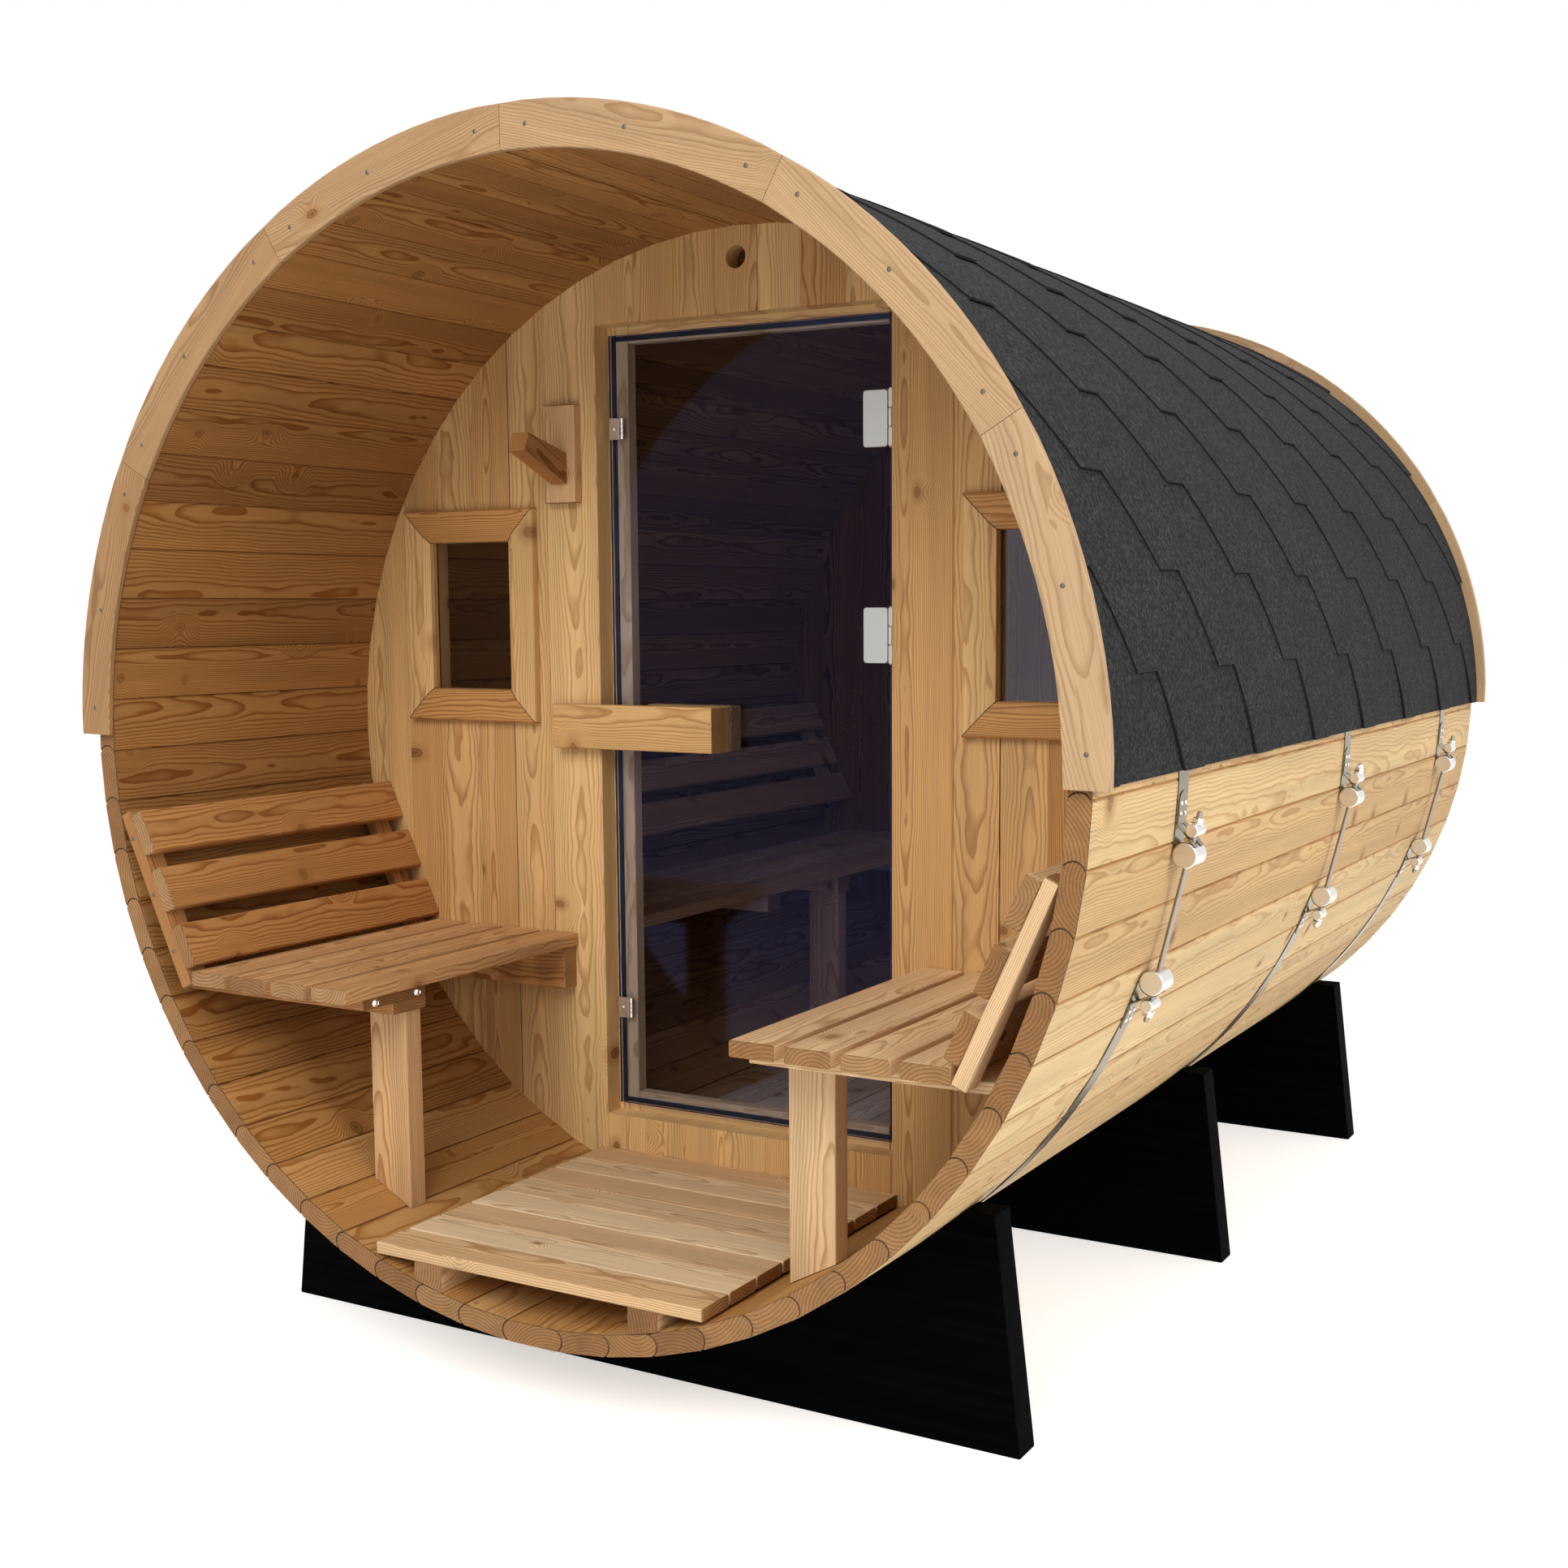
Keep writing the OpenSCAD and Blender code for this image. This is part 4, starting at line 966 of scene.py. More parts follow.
def make_cradle(node):
    """A glued timber cradle with a round bed for the barrel and broken edges."""
    low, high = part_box(node)
    horn_in = math.sqrt(CRADLE_R ** 2 - (AXIS_Z - high.z) ** 2)
    horn_out = horn_in + HORN_W
    reach = math.atan2(high.z - AXIS_Z, horn_in)
    bed = arc(Vector((0, AXIS_Z)), CRADLE_R, reach, -math.pi - reach, CRADLE_ARC_STEPS)
    outline = [Vector((low.x, low.z)), Vector((high.x, low.z)), Vector((horn_out, high.z))] + bed
    outline.append(Vector((-horn_out, high.z)))
    mesh = bmesh.new()
    skin(mesh, [[Vector((p.x, y, p.y)) for p in outline] for y in (low.y, high.y)])
    bmesh.ops.recalc_face_normals(mesh, faces=mesh.faces)
    sharp = [edge for edge in mesh.edges if edge.calc_face_angle(0) > CRADLE_SHARP]
    bmesh.ops.bevel(mesh, geom=sharp, offset=CRADLE_EDGE, segments=2, affect="EDGES", profile=0.6)
    add_piece(mesh, node + "_timber", [STAINED_TIMBER], [node])


# Walls of upright boards

WALL_R = 0.968
WALL_BOARD = 0.0955
WALL_EDGE, WALL_STEPS, LEAST_CHORD = 0.0022, 6, 0.02
FRONT_BOARDS, FRONT_WALL_END, REAR_WALL_END = 5, 0.003, 0.004
# Painted shade on the cabin's face of the rear wall boards
CABIN_SIDE_SHADE = 0.3
POST_IN, POST_OUT = 0.333, 0.460
POST_EASE, HEAD_EASE = 0.0002, 0.0005
VENT_R, VENT_Z, VENT_CHORD, VENT_EDGE, VENT_SIDES = 0.0215, 0.906, 0.04, 0.0015, 48
# The right side gets lower tones than the left: painted shade on the right wall boards and post
WALL_TONES = {-1: (0.68, 1.0), 1: (0.52, 0.8)}
POST_TONES = {-1: (0.98, 1.0), 1: (0.74, 0.76)}
WALL_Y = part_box("door_post_left")[0].y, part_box("door_post_left")[1].y
DOOR_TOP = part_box("door_head")[0].z - AXIS_Z
DOOR_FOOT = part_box("door_sill")[1].z - AXIS_Z
WINDOW_LOW, WINDOW_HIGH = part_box("window_glass_right")


def chord(x):
    """Half the height of a wall at a distance from its middle."""
    return math.sqrt(max(WALL_R ** 2 - x * x, LEAST_CHORD ** 2))


def upright(timber, x0, x1, y, foot, top, log=None, edges=(True, True), rear=False):
    """Adds an upright wall board between two lines; foot and top give its ends' heights at a place across."""
    y0, y1 = y
    cut = WALL_EDGE
    stops = [x0 + (x1 - x0) * k / WALL_STEPS for k in range(WALL_STEPS + 1)]
    if edges[0]:
        stops.insert(1, x0 + cut)
    if edges[1]:
        stops.insert(-1, x1 - cut)
    rings = []
    for i, x in enumerate(stops):
        broken = (i == 0 and edges[0]) or (i == len(stops) - 1 and edges[1])
        near = y0 + (cut if broken and not rear else 0.0)
        far = y1 - (cut if broken and rear else 0.0)
        low, high = AXIS_Z + foot(x), AXIS_Z + top(x)
        corners = ((near, low), (near, high), (far, high), (far, low))
        rings.append([Vector((x, depth, height)) for depth, height in corners])
    log = log or timber.log(rings, Z, Y)
    rows = timber.board(rings, Z, Y, log, sawn_ends=False)
    # Darkens the cabin's face of a rear board: painted shade in the cabin
    if rear:
        for row in rows:
            for vert in row[:2]:
                vert[timber.tone] *= CABIN_SIDE_SHADE
    return log


def board_lines(start, end, width):
    """Joints between boards of about one width from start to end."""
    count = max(1, round(abs(end - start) / width))
    return [start + (end - start) * k / count for k in range(count + 1)]


def make_front_wall(node, side):
    """Boards from the door post to the staves, cut away round the window."""
    timber = Timber(320 + side, WALL_TONES[side])
    foot_z, head_z = WINDOW_LOW.z - AXIS_Z, WINDOW_HIGH.z - AXIS_Z
    lines = [POST_OUT + SEAT_GAP + WALL_BOARD * k for k in range(FRONT_BOARDS)] + [WALL_R - FRONT_WALL_END]
    for x0, x1 in zip(lines, lines[1:]):
        breaks = [x0] + [x for x in (WINDOW_LOW.x, WINDOW_HIGH.x) if x0 < x < x1] + [x1]
        log = None
        for a, b in zip(breaks, breaks[1:]):
            edges = (a == x0, b == x1)
            if side < 0:
                span = (-b, -a)
                edges = edges[::-1]
            else:
                span = (a, b)
            in_window = WINDOW_LOW.x - 1e-6 < a and b < WINDOW_HIGH.x + 1e-6
            if in_window:
                log = upright(timber, *span, WALL_Y, lambda x: -chord(x), lambda x: foot_z, log, edges)
                upright(timber, *span, WALL_Y, lambda x: head_z, chord, log, edges)
            else:
                log = upright(timber, *span, WALL_Y, lambda x: -chord(x), chord, log, edges)
    timber.done(node + "_boards", WALL_PINE, "wall_pine", [node])


def make_door_posts():
    """One broad board on each side of the doorway."""
    for side, node in ((-1, "door_post_left"), (1, "door_post_right")):
        timber = Timber(330 + side, POST_TONES[side])
        span = sorted((side * (POST_IN + POST_EASE), side * (POST_OUT - SEAT_GAP)))
        upright(timber, *span, WALL_Y, lambda x: -chord(x), chord)
        timber.done(node + "_board", WALL_PINE, "wall_pine", [node])


def make_vent_board(timber, x0, x1):
    """The board over the door with the round vent bored through it."""
    front_y, back_y = WALL_Y
    rings = [[], [], [], [], [], []]
    for k in range(VENT_SIDES):
        a = math.tau * k / VENT_SIDES
        way = Vector((math.cos(a), math.sin(a)))
        far = []
        beside = x1 if way.x > 0 else x0
        above = (chord(VENT_CHORD) if way.y > 0 else DOOR_TOP) - VENT_Z
        for limit, part in ((beside, way.x), (above, way.y)):
            if abs(part) > 1e-6:
                far.append(limit / part)
        outer = way * min(far)
        wall, rim = way * VENT_R, way * (VENT_R + VENT_EDGE)
        places = ((outer, front_y), (outer, back_y), (rim, back_y), (wall, back_y - VENT_EDGE),
                  (wall, front_y + VENT_EDGE), (rim, front_y))
        for ring, (place, y) in zip(rings, places):
            ring.append(Vector((place.x, y, AXIS_Z + VENT_Z + place.y)))
    timber.board(rings, Z, Y, capped=False)


def make_head_and_sill():
    """Short boards over and under the doorway, the middle one over it with the vent."""
    inner = POST_IN - HEAD_EASE
    head, sill = Timber(341), Timber(342)
    lines = board_lines(-inner, inner, WALL_BOARD)
    for x0, x1 in zip(lines, lines[1:]):
        if x0 < 0 < x1:
            make_vent_board(head, x0, x1)
        else:
            upright(head, x0, x1, WALL_Y, lambda x: DOOR_TOP, chord)
        upright(sill, x0, x1, WALL_Y, lambda x: -chord(x), lambda x: DOOR_FOOT)
    head.done("door_head_boards", WALL_PINE, "wall_pine", ["door_head"])
    sill.done("door_sill_boards", WALL_PINE, "wall_pine", ["door_sill"])


def make_rear_wall():
    """Boards from side to side, darkened on the cabin's side as painted shade."""
    timber = Timber(350)
    low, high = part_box("rear_wall")
    lines = board_lines(REAR_WALL_END - WALL_R, WALL_R - REAR_WALL_END, WALL_BOARD)
    for x0, x1 in zip(lines, lines[1:]):
        upright(timber, x0, x1, (low.y, high.y), lambda x: -chord(x), chord, rear=True)
    timber.done("rear_wall_boards", WALL_PINE, "wall_pine", ["rear_wall"])


STOP_LEFT_W, STOP_RIGHT_W, STOP_HEAD_W, STOP_FOOT_W = 0.090, 0.066, 0.074, 0.083
SEAL_W, SEAL_T, SEAL_IN = 0.010, 0.0036, 0.006
STOP_TONES = 0.98, 1.0


def make_door_stops():
    """Boards behind the doorway that the glass closes against, with a rubber seal on them."""
    timber = Timber(360, STOP_TONES)
    low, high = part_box("door_stops")
    glass_low, glass_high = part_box("door_glass")
    left, right = low.x + STOP_LEFT_W, high.x - STOP_RIGHT_W
    foot, top = low.z + STOP_FOOT_W, high.z - STOP_HEAD_W
    timber.plank(low, (left, high.y, high.z), 2, 0.002)
    timber.plank((right, low.y, low.z), high, 2, 0.002)
    timber.plank((left + SEAT_GAP, low.y, top), (right - SEAT_GAP, high.y, high.z), 0, 0.002)
    timber.plank((left + SEAT_GAP, low.y, low.z), (right - SEAT_GAP, high.y, foot), 0, 0.002)
    timber.done("door_stop_boards", WALL_PINE, "wall_pine", ["door_stops"])
    # The black rubber seal also darkens the rebate behind the glass edge: partly a real seal, partly painted
    # shade
    seal = Metalwork()
    lip = eased(rectangle(SEAL_W, SEAL_T), 0.0012)
    seal_y = low.y - SEAL_T / 2
    for x in (glass_low.x + SEAL_IN, glass_high.x - SEAL_IN):
        start, end = Vector((x, seal_y, glass_low.z)), Vector((x, seal_y, glass_high.z))
        skin(seal.mesh, bar_rings(lip, start, end, X, Y, 0.001))
    for z in (glass_low.z + SEAL_IN, glass_high.z - SEAL_IN):
        start = Vector((glass_low.x + 2 * SEAL_IN, seal_y, z))
        end = Vector((glass_high.x - 2 * SEAL_IN, seal_y, z))
        skin(seal.mesh, bar_rings(lip, start, end, Z, Y, 0.001))
    seal.done("door_seal", RUBBER, "black_stained_timber")


# Windows

CASING_W, CASING_SLOPE, CASING_EDGE, MITRE_LINE = 0.066, 0.015, 0.004, 0.0011
FLAT_TONE, UPRIGHT_TONE = 0.6, 0.9


def make_window_trim(node, side):
    """Four mitred boards with a sloped inner edge."""
    timber = Timber(370 + side)
    low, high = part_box(node)
    thick = high.y - low.y
    profile = ((0, 0), (CASING_W, 0), (CASING_W, thick - CASING_EDGE), (CASING_W - CASING_EDGE, thick),
               (CASING_SLOPE, thick), (0, thick - CASING_SLOPE / 2))
    outline = eased(profile, 0.002)
    x0, x1 = low.x + CASING_W, high.x - CASING_W
    z0, z1 = low.z + CASING_W, high.z - CASING_W
    back = high.y
    for start, end, outward in (
        ((x0, z0), (x1, z0), -Z), ((x0, z1), (x1, z1), Z), ((x0, z0), (x0, z1), -X), ((x1, z0), (x1, z1), X),
    ):
        a, b = Vector((start[0], back, start[1])), Vector((end[0], back, end[1]))
        way = (b - a).normalized()
        rings = []
        for at, sign, back_off in ((a, -1, 0.0), (a, -1, MITRE_LINE), (b, 1, MITRE_LINE), (b, 1, 0.0)):
            mitre = [p.x - SEAT_GAP - back_off for p in outline]
            rings.append([at + outward * p.x - Y * p.y + way * sign * m for p, m in zip(outline, mitre)])
        rows = timber.board(rings, way, Y, tone=FLAT_TONE if outward.z else UPRIGHT_TONE)
        # The mitre chamfers are darkened: painted shade in the mitre joints
        for near, far in (rows[:2], rows[2:]):
            timber.mark(near, far, SHADED_CHAMFER)
    timber.done(node + "_boards", WALL_PINE, "wall_pine", [node])


# Benches

SEAT_Z = AXIS_Z - 0.425
SEAT_X, SLAT_W, SLAT_T, SLAT_GAP, SEAT_SLATS = 0.400, 0.083, 0.027, 0.017, 4
BACK_LEAN, BACK_GAP, BACK_SLATS, BACK_RISE, BACK_OVER = math.radians(24.7), 0.031, 3, 0.002, 0.010
BACK_X = SEAT_X + SEAT_SLATS * SLAT_W + (SEAT_SLATS - 1) * SLAT_GAP + SEAT_GAP + SLAT_T * math.tan(BACK_LEAN)
BATTEN_W, BATTEN_INSET = 0.045, 0.018
BEARER_X, BEARER_W, BEARER_H = SEAT_X + 0.006, 0.060, 0.042
BEARER_Z = SEAT_Z - SLAT_T - SEAT_GAP
CLEAT_W, CLEAT_H = 0.040, 0.085
LEG_X, LEG_W, LEG_T = BEARER_X + 0.005, 0.088, 0.042
PORCH_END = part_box("porch_duckboard")[1].y
CABIN_START, CABIN_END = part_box("cabin_duckboard")[0].y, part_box("cabin_duckboard")[1].y
CABIN_WALL = WALL_Y[1] + SEAT_GAP
PORCH_BEARER_Y, PORCH_LEG_Y = FRONT + 0.216, FRONT + 0.186
PORCH_BEARER_W, LEDGE_W, LEDGE_T = 0.088, 0.165, 0.020
CABIN_BEARERS = CABIN_WALL + 0.755, CABIN_WALL + 1.105
CABIN_BACK_LIFT = 0.086
# The left porch bench gets lower tones than the right one: painted shade on the left bench, painted light on
# the right
SEAT_TONES = {-1: (0.5, 0.76), 1: (0.95, 1.0)}
BACK_TONES = {-1: (0.34, 0.53), 1: (0.9, 1.0)}
LEG_TONES = {-1: 0.74, 1: 0.98}
LEDGE_SCREWS, LEDGE_SCREW_R, BATTEN_SCREW_R = (0.022, 0.133), 0.0088, 0.004
SEAT_EASE, SLAT_EASE, BATTEN_EASE, BENCH_CHAMFER = 0.004, 0.005, 0.004, 0.002
BAR_EASE, LEDGE_EASE = 0.003, 0.002


def mirrored(side, low, high):
    """A box drawn on the right-hand side, moved to that side."""
    x0, x1 = sorted((side * low[0], side * high[0]))
    return (x0, low[1], low[2]), (x1, high[1], high[2])


def bench_seat(timber, side, y0, y1, tones):
    """Adds the slats of a seat."""
    timber.tones = tones
    for i in range(SEAT_SLATS):
        x = SEAT_X + i * (SLAT_W + SLAT_GAP)
        box = mirrored(side, (x, y0, SEAT_Z - SLAT_T), (x + SLAT_W, y1, SEAT_Z))
        timber.plank(*box, 1, SEAT_EASE, chamfer=BENCH_CHAMFER)


def back_ways(side):
    """The ways out and up of a leaning backrest."""
    out = Vector((side * math.cos(BACK_LEAN), 0, -math.sin(BACK_LEAN)))
    up = Vector((side * math.sin(BACK_LEAN), 0, math.cos(BACK_LEAN)))
    return out, up


def leaned(timber, side, origin, x, z, y):
    """Adds a board of a backrest, given across, up and along in the backrest's own slanted lines."""
    out, up = back_ways(side)
    wide, thick, run = z[1] - z[0], x[1] - x[0], y[1] - y[0]
    middle = origin + out * (x[0] + x[1]) / 2 + up * (z[0] + z[1]) / 2 + Y * (y[0] + y[1]) / 2
    if run > wide:
        outline, along, across, half = eased(rectangle(wide, thick), SLAT_EASE), Y, up, Y * run / 2
    else:
        outline, along, across, half = eased(rectangle(run, thick), BATTEN_EASE), up, Y, up * wide / 2
    rings = bar_rings(outline, middle - half, middle + half, across, out, BENCH_CHAMFER)
    timber.board(kept_inside(rings, 0), along, out)


def bench_back(timber, side, y0, y1, lift, batten_foot, tones):
    """Adds the slats of a backrest and the two battens behind them."""
    timber.tones = tones
    origin = Vector((side * BACK_X, 0, SEAT_Z + lift))
    height = BACK_SLATS * SLAT_W + (BACK_SLATS - 1) * BACK_GAP
    for i in range(BACK_SLATS):
        z = BACK_RISE + i * (SLAT_W + BACK_GAP)
        leaned(timber, side, origin, (-SLAT_T - SEAT_GAP, -SEAT_GAP), (z, z + SLAT_W), (y0, y1))
    batten_top = BACK_RISE + height + BACK_OVER
    for y in (y0, y1 - BATTEN_INSET - BATTEN_W):
        leaned(timber, side, origin, (0, SLAT_T), (batten_foot, batten_top), (y, y + BATTEN_W))


def cross_bar(timber, side, y0, y1, height, drop=0.0, ease=BAR_EASE):
    """Adds a bar under a seat, from its front edge to the staves; drop leaves room for a board above it."""
    low, high = (BEARER_X, y0, BEARER_Z - height), (BARREL_R, y1, BEARER_Z - drop)
    timber.plank(*mirrored(side, low, high), 0, ease, fit=0)


def bench_leg(timber, side, y, tone=None):
    """Adds a leg from the staves to a bearer."""
    low = (LEG_X, y - LEG_T / 2, AXIS_Z - BARREL_R)
    high = (LEG_X + LEG_W, y + LEG_T / 2, BEARER_Z - BEARER_H - SEAT_GAP)
    timber.plank(*mirrored(side, low, high), 2, 0.003, fit=2, tone=tone)


def make_porch_bench(node, side):
    """A porch bench on a ledge, a bearer, a leg and a cleat; the left one's batten shows its screws."""
    timber = Timber(400 + side)
    bench_seat(timber, side, FRONT, PORCH_END, SEAT_TONES[side])
    bench_back(timber, side, FRONT, PORCH_END, 0.0, -SLAT_T, BACK_TONES[side])
    cross_bar(timber, side, PORCH_BEARER_Y - LEDGE_W, PORCH_BEARER_Y, LEDGE_T, ease=LEDGE_EASE)
    cross_bar(timber, side, PORCH_BEARER_Y - PORCH_BEARER_W, PORCH_BEARER_Y, BEARER_H, LEDGE_T, LEDGE_EASE)
    bench_leg(timber, side, PORCH_LEG_Y, LEG_TONES[side])
    cross_bar(timber, side, PORCH_END - CLEAT_W, PORCH_END, CLEAT_H)
    timber.done(node + "_boards", BENCH_PINE, "bench_pine", [node])
    screws = Metalwork()
    for y in LEDGE_SCREWS:
        at = Vector((side * BEARER_X, PORCH_BEARER_Y - y, BEARER_Z - LEDGE_T / 2))
        screws.screw(at, -X * side, LEDGE_SCREW_R)
    screws.done(node + "_screws", NICKEL, "nickel_plated_steel")
    if side > 0:
        return
    small = Metalwork()
    out, up = back_ways(side)
    for i in range(BACK_SLATS):
        height = BACK_RISE + i * (SLAT_W + BACK_GAP) + SLAT_W / 2
        at = Vector((side * BACK_X, FRONT, SEAT_Z)) + up * height + out * SLAT_T / 2
        small.screw(at, -Y, BATTEN_SCREW_R)
    small.done(node + "_batten_screws", DARK_STEEL, "nickel_plated_steel")


def make_cabin_bench():
    """The bench on the left of the cabin, between the two walls."""
    timber = Timber(410)
    bench_seat(timber, -1, CABIN_START, CABIN_END, BOARD_TONES)
    bench_back(timber, -1, CABIN_START, CABIN_END, CABIN_BACK_LIFT, BACK_RISE, BOARD_TONES)
    for y in CABIN_BEARERS:
        cross_bar(timber, -1, y - BEARER_W / 2, y + BEARER_W / 2, BEARER_H)
    bench_leg(timber, -1, CABIN_BEARERS[1])
    cross_bar(timber, -1, CABIN_WALL, CABIN_START + CLEAT_W, CLEAT_H)
    cross_bar(timber, -1, CABIN_END - CLEAT_W, CABIN_END, CLEAT_H)
    timber.done("cabin_bench_boards", BENCH_PINE, "bench_pine", ["cabin_bench"])


# Duckboards

FLOOR_T, FLOOR_BATTEN_W, FLOOR_BATTEN_X = 0.022, 0.060, 0.258
PORCH_BOARDS, CABIN_BOARDS, CABIN_BATTENS = 8, 7, 4
BOARD_GAP = 0.005
PORCH_FLOOR_TONES = 0.62, 1.0


def make_porch_duckboard():
    """Boards across the porch on two battens that stand on the staves."""
    timber = Timber(500, PORCH_FLOOR_TONES)
    low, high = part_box("porch_duckboard")
    step = (high.y - low.y + BOARD_GAP) / PORCH_BOARDS
    for i in range(PORCH_BOARDS):
        y = low.y + i * step
        timber.plank((low.x, y, high.z - FLOOR_T), (high.x, y + step - BOARD_GAP, high.z), 0, 0.003)
    foot = high.z - FLOOR_T - SEAT_GAP
    for side in (-1, 1):
        x0, x1 = sorted((side * (FLOOR_BATTEN_X - FLOOR_BATTEN_W), side * FLOOR_BATTEN_X))
        timber.plank((x0, low.y, AXIS_Z - BARREL_R), (x1, high.y, foot), 1, 0.003, fit=2)
    timber.done("porch_duckboard_boards", DUCKBOARD_PINE, "duckboard_pine", ["porch_duckboard"])


def make_cabin_duckboard():
    """Boards along the cabin on battens from side to side."""
    timber = Timber(510)
    low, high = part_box("cabin_duckboard")
    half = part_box("porch_duckboard")[1].x
    step = (2 * half + BOARD_GAP) / CABIN_BOARDS
    for i in range(CABIN_BOARDS):
        x = -half + i * step
        timber.plank((x, low.y, high.z - FLOOR_T), (x + step - BOARD_GAP, high.y, high.z), 1, 0.003)
    run = (high.y - low.y - FLOOR_BATTEN_W) / (CABIN_BATTENS - 1)
    top = high.z - FLOOR_T - SEAT_GAP
    for i in range(CABIN_BATTENS):
        y = low.y + i * run
        timber.plank((-half, y, top - FLOOR_T), (half, y + FLOOR_BATTEN_W, top), 0, 0.002, fit=0)
    timber.done("cabin_duckboard_boards", DUCKBOARD_PINE, "duckboard_pine", ["cabin_duckboard"])


# Coat hook

HOOK_PLATE_T, PEG_W, PEG_TONE = 0.022, 0.040, 0.4
PEG_L, PEG_FOOT, PEG_ROOT, PEG_RISE, PEG_TIP = 0.122, 0.037, 0.062, 0.076, 0.036


def make_coat_hook():
    """A plate on the wall with a slanting peg."""
    timber = Timber(600)
    low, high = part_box("coat_hook")
    plate_y = WALL_Y[0] - SEAT_GAP - HOOK_PLATE_T
    timber.plank((low.x, plate_y, low.z), (high.x, WALL_Y[0] - SEAT_GAP, high.z), 2, 0.003)
    middle = (low.x + high.x) / 2
    tip_top = (-PEG_L, PEG_RISE + PEG_TIP / 2)
    tip_foot = (-PEG_L - PEG_TIP / 3, PEG_RISE - PEG_TIP / 2)
    corners = ((0, 0), (0, PEG_ROOT), tip_top, tip_foot)
    outline = eased(corners, 0.0015)
    root = Vector((middle - PEG_W / 2, plate_y - SEAT_GAP, low.z + PEG_FOOT))
    rings = bar_rings(outline, root, root + X * PEG_W, Y, Z, 0.0015)
    timber.board(rings, Vector((0, -PEG_L, PEG_RISE)).normalized(), X, sawn_ends=False, tone=PEG_TONE)
    timber.done("coat_hook_boards", BENCH_PINE, "bench_pine", ["coat_hook"])


# Door

HANDLE_BLOCK, HANDLE_T, HANDLE_PART, GRIP_L = 0.160, 0.027, 0.004, 0.200
# The handle's sawn ends take the lightest end tones: painted light on its shaded ends
HANDLE_TONES, HANDLE_END_TONES = (0.68, 0.82), (0.9, 1.0)
HINGE_HEIGHTS = 0.592, 0.192, -0.590
HINGE_H, KNUCKLE_R, PIN_R, PIN_OVER = 0.105, 0.007, 0.004, 0.004
HINGE_PLATE_W, HINGE_PLATE_T, HINGE_CORNER = 0.060, 0.005, 0.007
KNUCKLE_GAP, KNUCKLE_OFF, KNUCKLE_EDGE, LEAF_SHORT = 0.002, 0.00015, 0.0006, 0.0006
CATCH_H, CATCH_CORNER, CATCH_SCREW_R = 0.043, 0.003, 0.004
CATCH_ROLLER_R, CATCH_ROLLER_END, CATCH_ROLLER_EDGE = 0.0048, 0.003, 0.001
GROOVES_AT = -0.4, 0.0, 0.4
GROOVE_PROFILE = (-0.002, 0.0), (-0.001, 0.0012), (0.001, 0.0012), (0.002, 0.0)
HINGE_AT = Vector(frame["record"]["behaviour"]["joints"][0]["pos_m"])


def make_door_handle():
    """A front board on a glued block, with a grip on the inside of the glass."""
    timber = Timber(700, HANDLE_TONES, HANDLE_END_TONES)
    low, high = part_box("door_handle")
    glass_low, glass_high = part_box("door_glass")
    board_back = low.y + HANDLE_T
    timber.plank(low, (high.x, board_back, high.z), 0, 0.0035)
    block_x = high.x - HANDLE_BLOCK
    parting = (board_back + glass_low.y) / 2 + HANDLE_PART
    timber.plank((block_x, board_back + SEAT_GAP, low.z), (high.x, parting - SEAT_GAP, high.z), 0, 0.002)
    timber.plank((block_x, parting + SEAT_GAP, low.z), (high.x, glass_low.y - SEAT_GAP, high.z), 0, 0.002)
    grip_x = high.x - GRIP_L
    timber.plank((grip_x, glass_high.y + SEAT_GAP, low.z), (high.x, high.y, high.z), 0, 0.003)
    timber.done("door_handle_boards", WALL_PINE, "wall_pine", ["door_handle"], "door")


def make_hinges():
    """Three hinges: rounded plates on the glass, and leaves on the post that carry the pins."""
    plates, leaves = Metalwork(), Metalwork()
    glass_low, glass_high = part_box("door_glass")
    knuckle_h = HINGE_H / 3
    plate_right = glass_high.x - SEAT_GAP
    plate_left = plate_right - HINGE_PLATE_W
    turn_edge = HINGE_AT.x - KNUCKLE_R - PIN_R
    back_y = glass_low.y - SEAT_GAP
    for height in HINGE_HEIGHTS:
        z = AXIS_Z + height
        at = Vector((HINGE_AT.x, HINGE_AT.y, z))
        wide = turn_edge - plate_left
        corner = eased(rectangle(wide, HINGE_H), HINGE_CORNER, 4)
        plates.flat(corner, Vector(((plate_left + turn_edge) / 2, back_y, z)), X, Z, HINGE_PLATE_T, 0.001)
        tab = eased(rectangle(plate_right - turn_edge, knuckle_h), 0.001)
        plates.flat(tab, Vector(((plate_right + turn_edge) / 2, back_y, z)), X, Z, HINGE_PLATE_T, 0.0005)
        web = eased(rectangle(KNUCKLE_R, knuckle_h), 0.0005)
        plates.flat(web, Vector((at.x - KNUCKLE_R / 2, back_y, z)), X, Z, back_y - at.y, 0.0004)
        plates.pin(at, Z, knuckle_h - KNUCKLE_GAP, KNUCKLE_R, KNUCKLE_EDGE, 28)
        leaves.pin(at, Z, HINGE_H + PIN_OVER, PIN_R, 0.001, 20)
        for sign in (-1, 1):
            knuckle = at + Z * sign * (knuckle_h + KNUCKLE_OFF)
            leaves.pin(knuckle, Z, knuckle_h - KNUCKLE_GAP, KNUCKLE_R, KNUCKLE_EDGE, 28)
            leaf = eased(rectangle(POST_IN - at.x - SEAT_GAP, knuckle_h - LEAF_SHORT), 0.0005)
            middle = Vector(((POST_IN + at.x) / 2, at.y - KNUCKLE_R + HINGE_PLATE_T / 2, knuckle.z))
            leaves.flat(leaf, middle, X, Z, HINGE_PLATE_T / 2, 0.0004)
    plates.done("door_hinge_plates", SATIN_NICKEL, "nickel_plated_steel", ["door_hinges"], "door")
    leaves.done("post_hinge_leaves", SATIN_NICKEL, "nickel_plated_steel", ["hinge_leaves"])


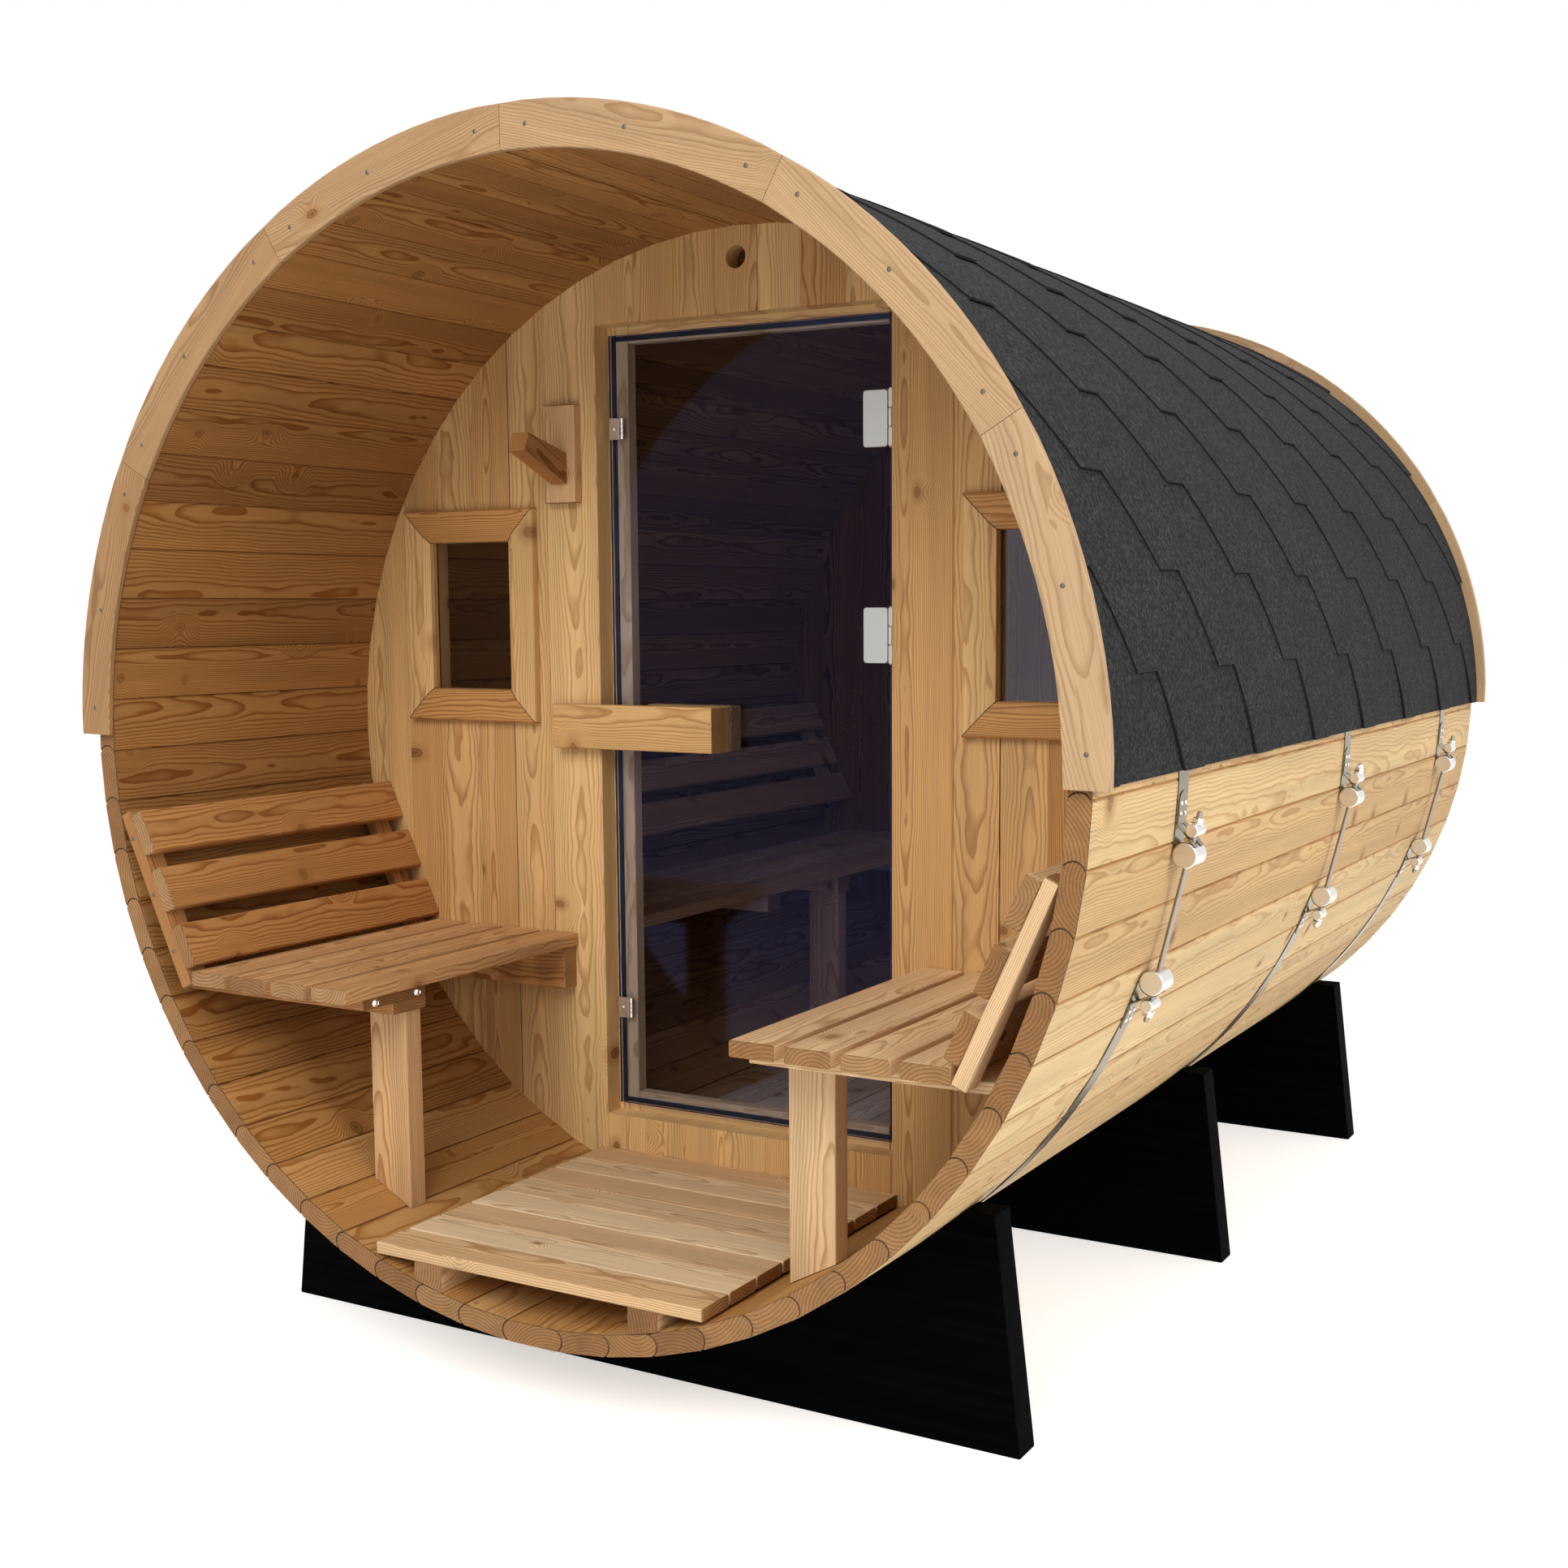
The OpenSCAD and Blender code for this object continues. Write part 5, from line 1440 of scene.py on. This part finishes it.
def make_catches():
    """Two plates at the free edge of the glass, each with a grooved roller beside it."""
    catches = Metalwork()
    low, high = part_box("door_catches")
    outline = eased(rectangle(high.x - low.x, CATCH_H), CATCH_CORNER)
    middle, half = (low.x + high.x) / 2, CATCH_H / 2
    for z in (low.z + half, high.z - half):
        catches.flat(outline, Vector((middle, high.y, z)), X, Z, high.y - low.y, 0.0008)
        catches.screw(Vector((middle, low.y, z)), -Y, CATCH_SCREW_R)
        profile = [(-half, CATCH_ROLLER_END), (-half + CATCH_ROLLER_EDGE, CATCH_ROLLER_R)]
        for groove in GROOVES_AT:
            for off, depth in GROOVE_PROFILE:
                profile.append((groove * half + off, CATCH_ROLLER_R - depth))
        profile += [(half - CATCH_ROLLER_EDGE, CATCH_ROLLER_R), (half, CATCH_ROLLER_END)]
        catches.turned(Vector((high.x + CATCH_ROLLER_R, low.y + CATCH_ROLLER_R, z)), Z, profile, 24)
    catches.done("door_catch_plates", NICKEL, "nickel_plated_steel", ["door_catches"], "door")


def paint_glass():
    """The panes keep their CAD solids and get their glass."""
    for node, glass in (("door_glass", DOOR_GLASS), ("window_glass_left", WINDOW_GLASS),
                        ("window_glass_right", WINDOW_GLASS)):
        data = frame["nodes"][node].data
        data.materials.clear()
        data.materials.append(glass)


# Stage

FLOOR_HALF = 30.0
SURROUND = 0.55
FLOOR_LIFT = 0.5
# Each lamp's name, place, aim, size in metres and power in watts
LAMPS = (
    ("front", (0.8, -6.2, 5.4), (0, -0.7, 0.8), 4.0, 275),
    ("right", (6.8, -1.4, 4.2), (0, 0.0, 1.0), 4.0, 220),
    ("cabin", (0.3, 0.5, 1.9), (-0.2, 0.3, 0.6), 0.5, 0.3),
)


def seen_ray(tree):
    """1 where the background is seen, straight on, mirrored or through glass, and 0 where it only lights."""
    rays = add_node(tree, "LightPath").outputs
    seen = add_node(tree, "Math", {0: rays["Is Camera Ray"], 1: rays["Is Glossy Ray"]}, operation="MAXIMUM")
    return add_node(tree, "Math", {0: seen, 1: rays["Is Transmission Ray"]}, operation="MAXIMUM")


def make_stage():
    """A plain white floor and surround, soft lamps in front and on the right, and a weak one in the cabin."""
    material, tree, shader = new_material("matt white floor")
    lift = add_node(tree, "Math", {0: seen_ray(tree), 1: FLOOR_LIFT}, operation="MULTIPLY")
    set_inputs(tree, shader, {"Base Color": linear("#f6f6f5"), "Roughness": 0.9,
                              "Emission Color": (1, 1, 1, 1), "Emission Strength": lift})
    mesh = bmesh.new()
    mesh.faces.new([mesh.verts.new((x, y, 0)) for x, y in rectangle(2 * FLOOR_HALF, 2 * FLOOR_HALF)])
    data = bpy.data.meshes.new("floor")
    mesh.to_mesh(data)
    mesh.free()
    data.materials.append(material)
    floor = bpy.data.objects.new("floor", data)
    bpy.context.scene.collection.objects.link(floor)
    world = bpy.data.worlds.new("white surround")
    bpy.context.scene.world = world
    world.use_nodes = True
    tree = world.node_tree
    tree.nodes.clear()
    level = add_node(tree, "MapRange", {"Value": seen_ray(tree), "To Min": SURROUND, "To Max": 1.0})
    white = add_node(tree, "Background", {"Color": (1, 1, 1, 1), "Strength": level})
    add_node(tree, "OutputWorld", {"Surface": white})
    for lamp in LAMPS:
        add_lamp(*lamp)


def add_lamp(name, at, aim, size, power):
    """Adds a plain white area lamp."""
    lamp = bpy.data.lights.new(name, "AREA")
    lamp.size = size
    lamp.energy = power
    holder = bpy.data.objects.new(name, lamp)
    holder.location = at
    holder.rotation_euler = (Vector(aim) - Vector(at)).to_track_quat("-Z", "Y").to_euler()
    bpy.context.scene.collection.objects.link(holder)


def make_camera():
    """The camera that took the photograph."""
    camera = bpy.data.cameras.new("camera")
    camera.sensor_width = SENSOR_MM
    camera.lens = FOCAL_PX / PHOTO_PX * SENSOR_MM
    camera.shift_x = (PHOTO_PX / 2 - PRINCIPAL_PX[0]) / PHOTO_PX
    camera.shift_y = (PRINCIPAL_PX[1] - PHOTO_PX / 2) / PHOTO_PX
    level = math.cos(CAMERA_PITCH)
    ahead = Vector((math.sin(CAMERA_YAW) * level, math.cos(CAMERA_YAW) * level, math.sin(CAMERA_PITCH)))
    right = Vector((math.cos(CAMERA_YAW), -math.sin(CAMERA_YAW), 0))
    up = right.cross(ahead)
    side = right * math.cos(CAMERA_ROLL) + up * math.sin(CAMERA_ROLL)
    holder = bpy.data.objects.new("camera", camera)
    turned = holder.matrix_world.to_3x3()
    top = side.cross(ahead)
    for column, way in enumerate((side, top, -ahead)):
        turned.col[column] = way
    holder.matrix_world = turned.to_4x4()
    holder.location = CAMERA_AT
    bpy.context.scene.collection.objects.link(holder)
    bpy.context.scene.camera = holder


make_camera()
make_staves()
make_arch_trim("arch_trim_front", -1)
make_arch_trim("arch_trim_rear", 1)
make_roof()
for place in ("front", "middle", "rear"):
    make_band("band_" + place, "tensioner_" + place, place == "middle")
    make_cradle("cradle_" + place)
make_front_wall("front_wall_left", -1)
make_front_wall("front_wall_right", 1)
make_door_posts()
make_head_and_sill()
make_rear_wall()
make_door_stops()
make_window_trim("window_trim_left", -1)
make_window_trim("window_trim_right", 1)
make_porch_bench("porch_bench_left", -1)
make_porch_bench("porch_bench_right", 1)
make_cabin_bench()
make_porch_duckboard()
make_cabin_duckboard()
make_coat_hook()
make_door_handle()
make_hinges()
make_catches()
paint_glass()
make_stage()

bpy.context.scene.view_settings.view_transform = "Standard"
